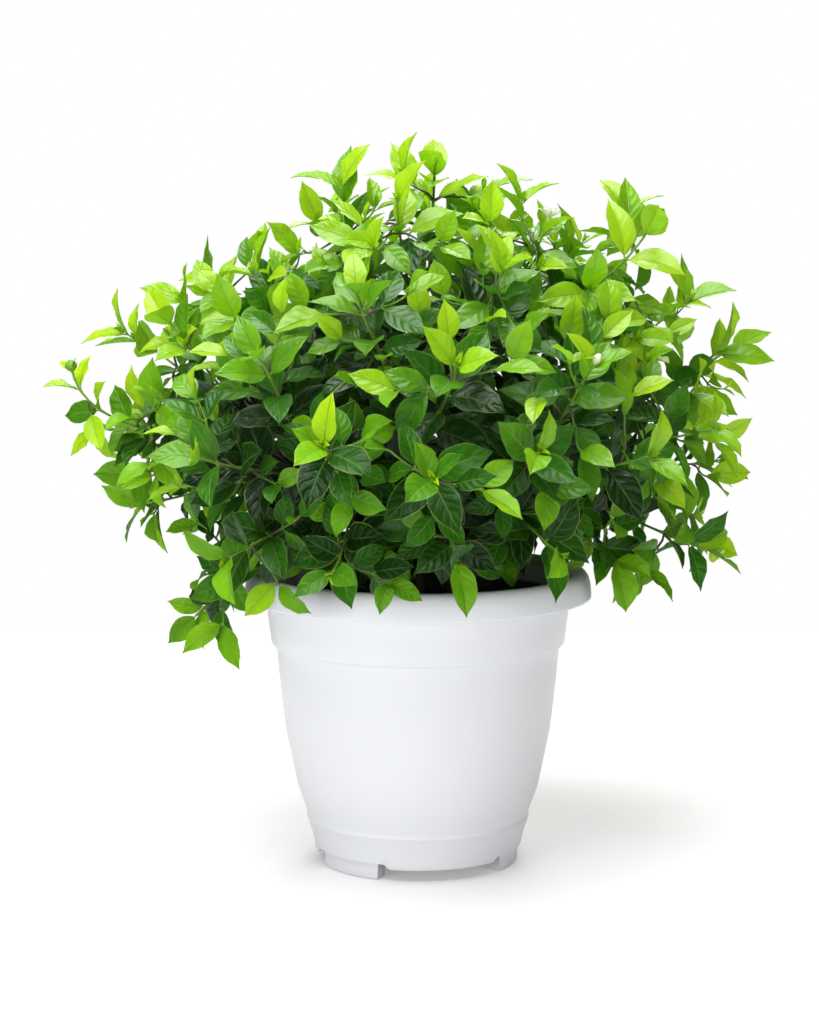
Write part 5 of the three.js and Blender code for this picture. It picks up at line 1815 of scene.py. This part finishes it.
# %% [markdown]
# ## Floor, light and camera
#
# The plant stands on a sheet of white acrylic that glows a little from below, in a white room. The
# lamps are large and soft: one above, a strong one low in front on the left, a weak one on the right,
# and one behind that shines through the young leaves. The two low ones only light the pot and the front
# of the bush and make no highlights, as in a studio where the gloss comes from the ceiling. The sheet
# ends in front of these two, so that none of its corners lies in the dark. The camera stands a little
# above the middle of the plant and looks slightly down.

# %% The floor
FLOOR_GLOW = 0.25
FLOOR_CORNERS = [(-1.3, -1.5, 0), (1.3, -1.5, 0), (1.3, 1.3, 0), (-1.3, 1.3, 0)]


def floor_material():
    material, tree = new_material("white floor")
    by_camera = node(tree, "ShaderNodeLightPath").outputs["Is Camera Ray"]
    paint = node(tree, "ShaderNodeBsdfDiffuse", {"Color": (0.75, 0.75, 0.75, 1)})
    strength = sums(tree, "MULTIPLY", by_camera, FLOOR_GLOW)
    glow = node(tree, "ShaderNodeEmission", {"Color": (1, 1, 1, 1), "Strength": strength})
    both = node(tree, "ShaderNodeAddShader", {0: paint.outputs[0], 1: glow.outputs[0]})
    finish_material(tree, both.outputs[0])
    return material


def make_floor():
    mesh = bpy.data.meshes.new("floor")
    mesh.from_pydata(FLOOR_CORNERS, [], [(0, 1, 2, 3)])
    mesh.materials.append(floor_material())
    floor = bpy.data.objects.new("floor", mesh)
    bpy.context.scene.collection.objects.link(floor)
    floor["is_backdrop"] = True


make_floor()

# %% The lamps
PLANT_MIDDLE = Vector((0, 0, 0.4))


def add_lamp(name, place, size, watts, colour=(1, 1, 1), glossy=True):
    light = bpy.data.lights.new(name, "AREA")
    light.shape = "DISK"
    light.size = size
    light.energy = watts
    light.color = colour
    lamp = bpy.data.objects.new(name, light)
    lamp.location = place
    lamp.rotation_euler = (PLANT_MIDDLE - lamp.location).to_track_quat("-Z", "Y").to_euler()
    lamp.visible_glossy = glossy
    bpy.context.scene.collection.objects.link(lamp)


add_lamp("lamp_above", (-0.3, -0.6, 2.1), 2.2, 72)
add_lamp("lamp_front_left", (-1.9, -2.5, 0.25), 2.0, 66, glossy=False)
add_lamp("lamp_front_right", (1.7, -2.1, 0.3), 1.6, 24, glossy=False)
add_lamp("lamp_behind", (0.3, 1.6, 1.9), 1.2, 34, (1, 1, 0.95))

# %% The white room
ROOM_STRENGTH = 0.125


def make_room():
    world = bpy.data.worlds.new("white room")
    bpy.context.scene.world = world
    world.use_nodes = True
    tree = world.node_tree
    tree.nodes.clear()
    room = node(tree, "ShaderNodeBackground", {"Color": (1, 1, 1, 1), "Strength": ROOM_STRENGTH})
    seen = node(tree, "ShaderNodeBackground", {"Color": (1, 1, 1, 1), "Strength": 1.0})
    by_camera = node(tree, "ShaderNodeLightPath").outputs["Is Camera Ray"]
    both = node(tree, "ShaderNodeMixShader", {0: by_camera, 1: room.outputs[0], 2: seen.outputs[0]})
    node(tree, "ShaderNodeOutputWorld", {"Surface": both.outputs[0]})


make_room()

# %% The camera
CAMERA_PLACE = (-0.0082, -2.4, 0.637)
CAMERA_DOWN = 7.03
LENS = 87.89


def make_camera():
    lens = bpy.data.cameras.new("camera")
    lens.lens = LENS
    lens.sensor_width = 36
    lens.dof.use_dof = False
    camera = bpy.data.objects.new("camera", lens)
    camera.location = CAMERA_PLACE
    camera.rotation_euler = (math.radians(90 - CAMERA_DOWN), 0, 0)
    bpy.context.scene.collection.objects.link(camera)
    bpy.context.scene.camera = camera


make_camera()
bpy.context.scene.view_settings.view_transform = "Standard"

# %% [markdown]
# ## Check the size and finish
#
# The dressed plant should fill the same box as the fixed model.

# %% Compare the boxes
worst = sorted(((farthest_apart(piece, "shoot_" + shoot.name), shoot.name)
                for piece, shoot in zip(shoot_pieces, shoots)), reverse=True)
print("shoots whose boxes differ most, mm:", [(round(gap, 1), name) for gap, name in worst[:6]])
FINE_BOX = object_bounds()
boxes = {"cad": CAD_BOX, "scene": FINE_BOX}
{name: [list(corner) for corner in box] for name, box in boxes.items()}
shown = [piece for piece in bpy.context.scene.objects if piece.type == "MESH" and not piece.hide_render]
print("triangles in all:", triangles(shown))
print("its box now:", [round(value, 3) for corner in FINE_BOX for value in corner])
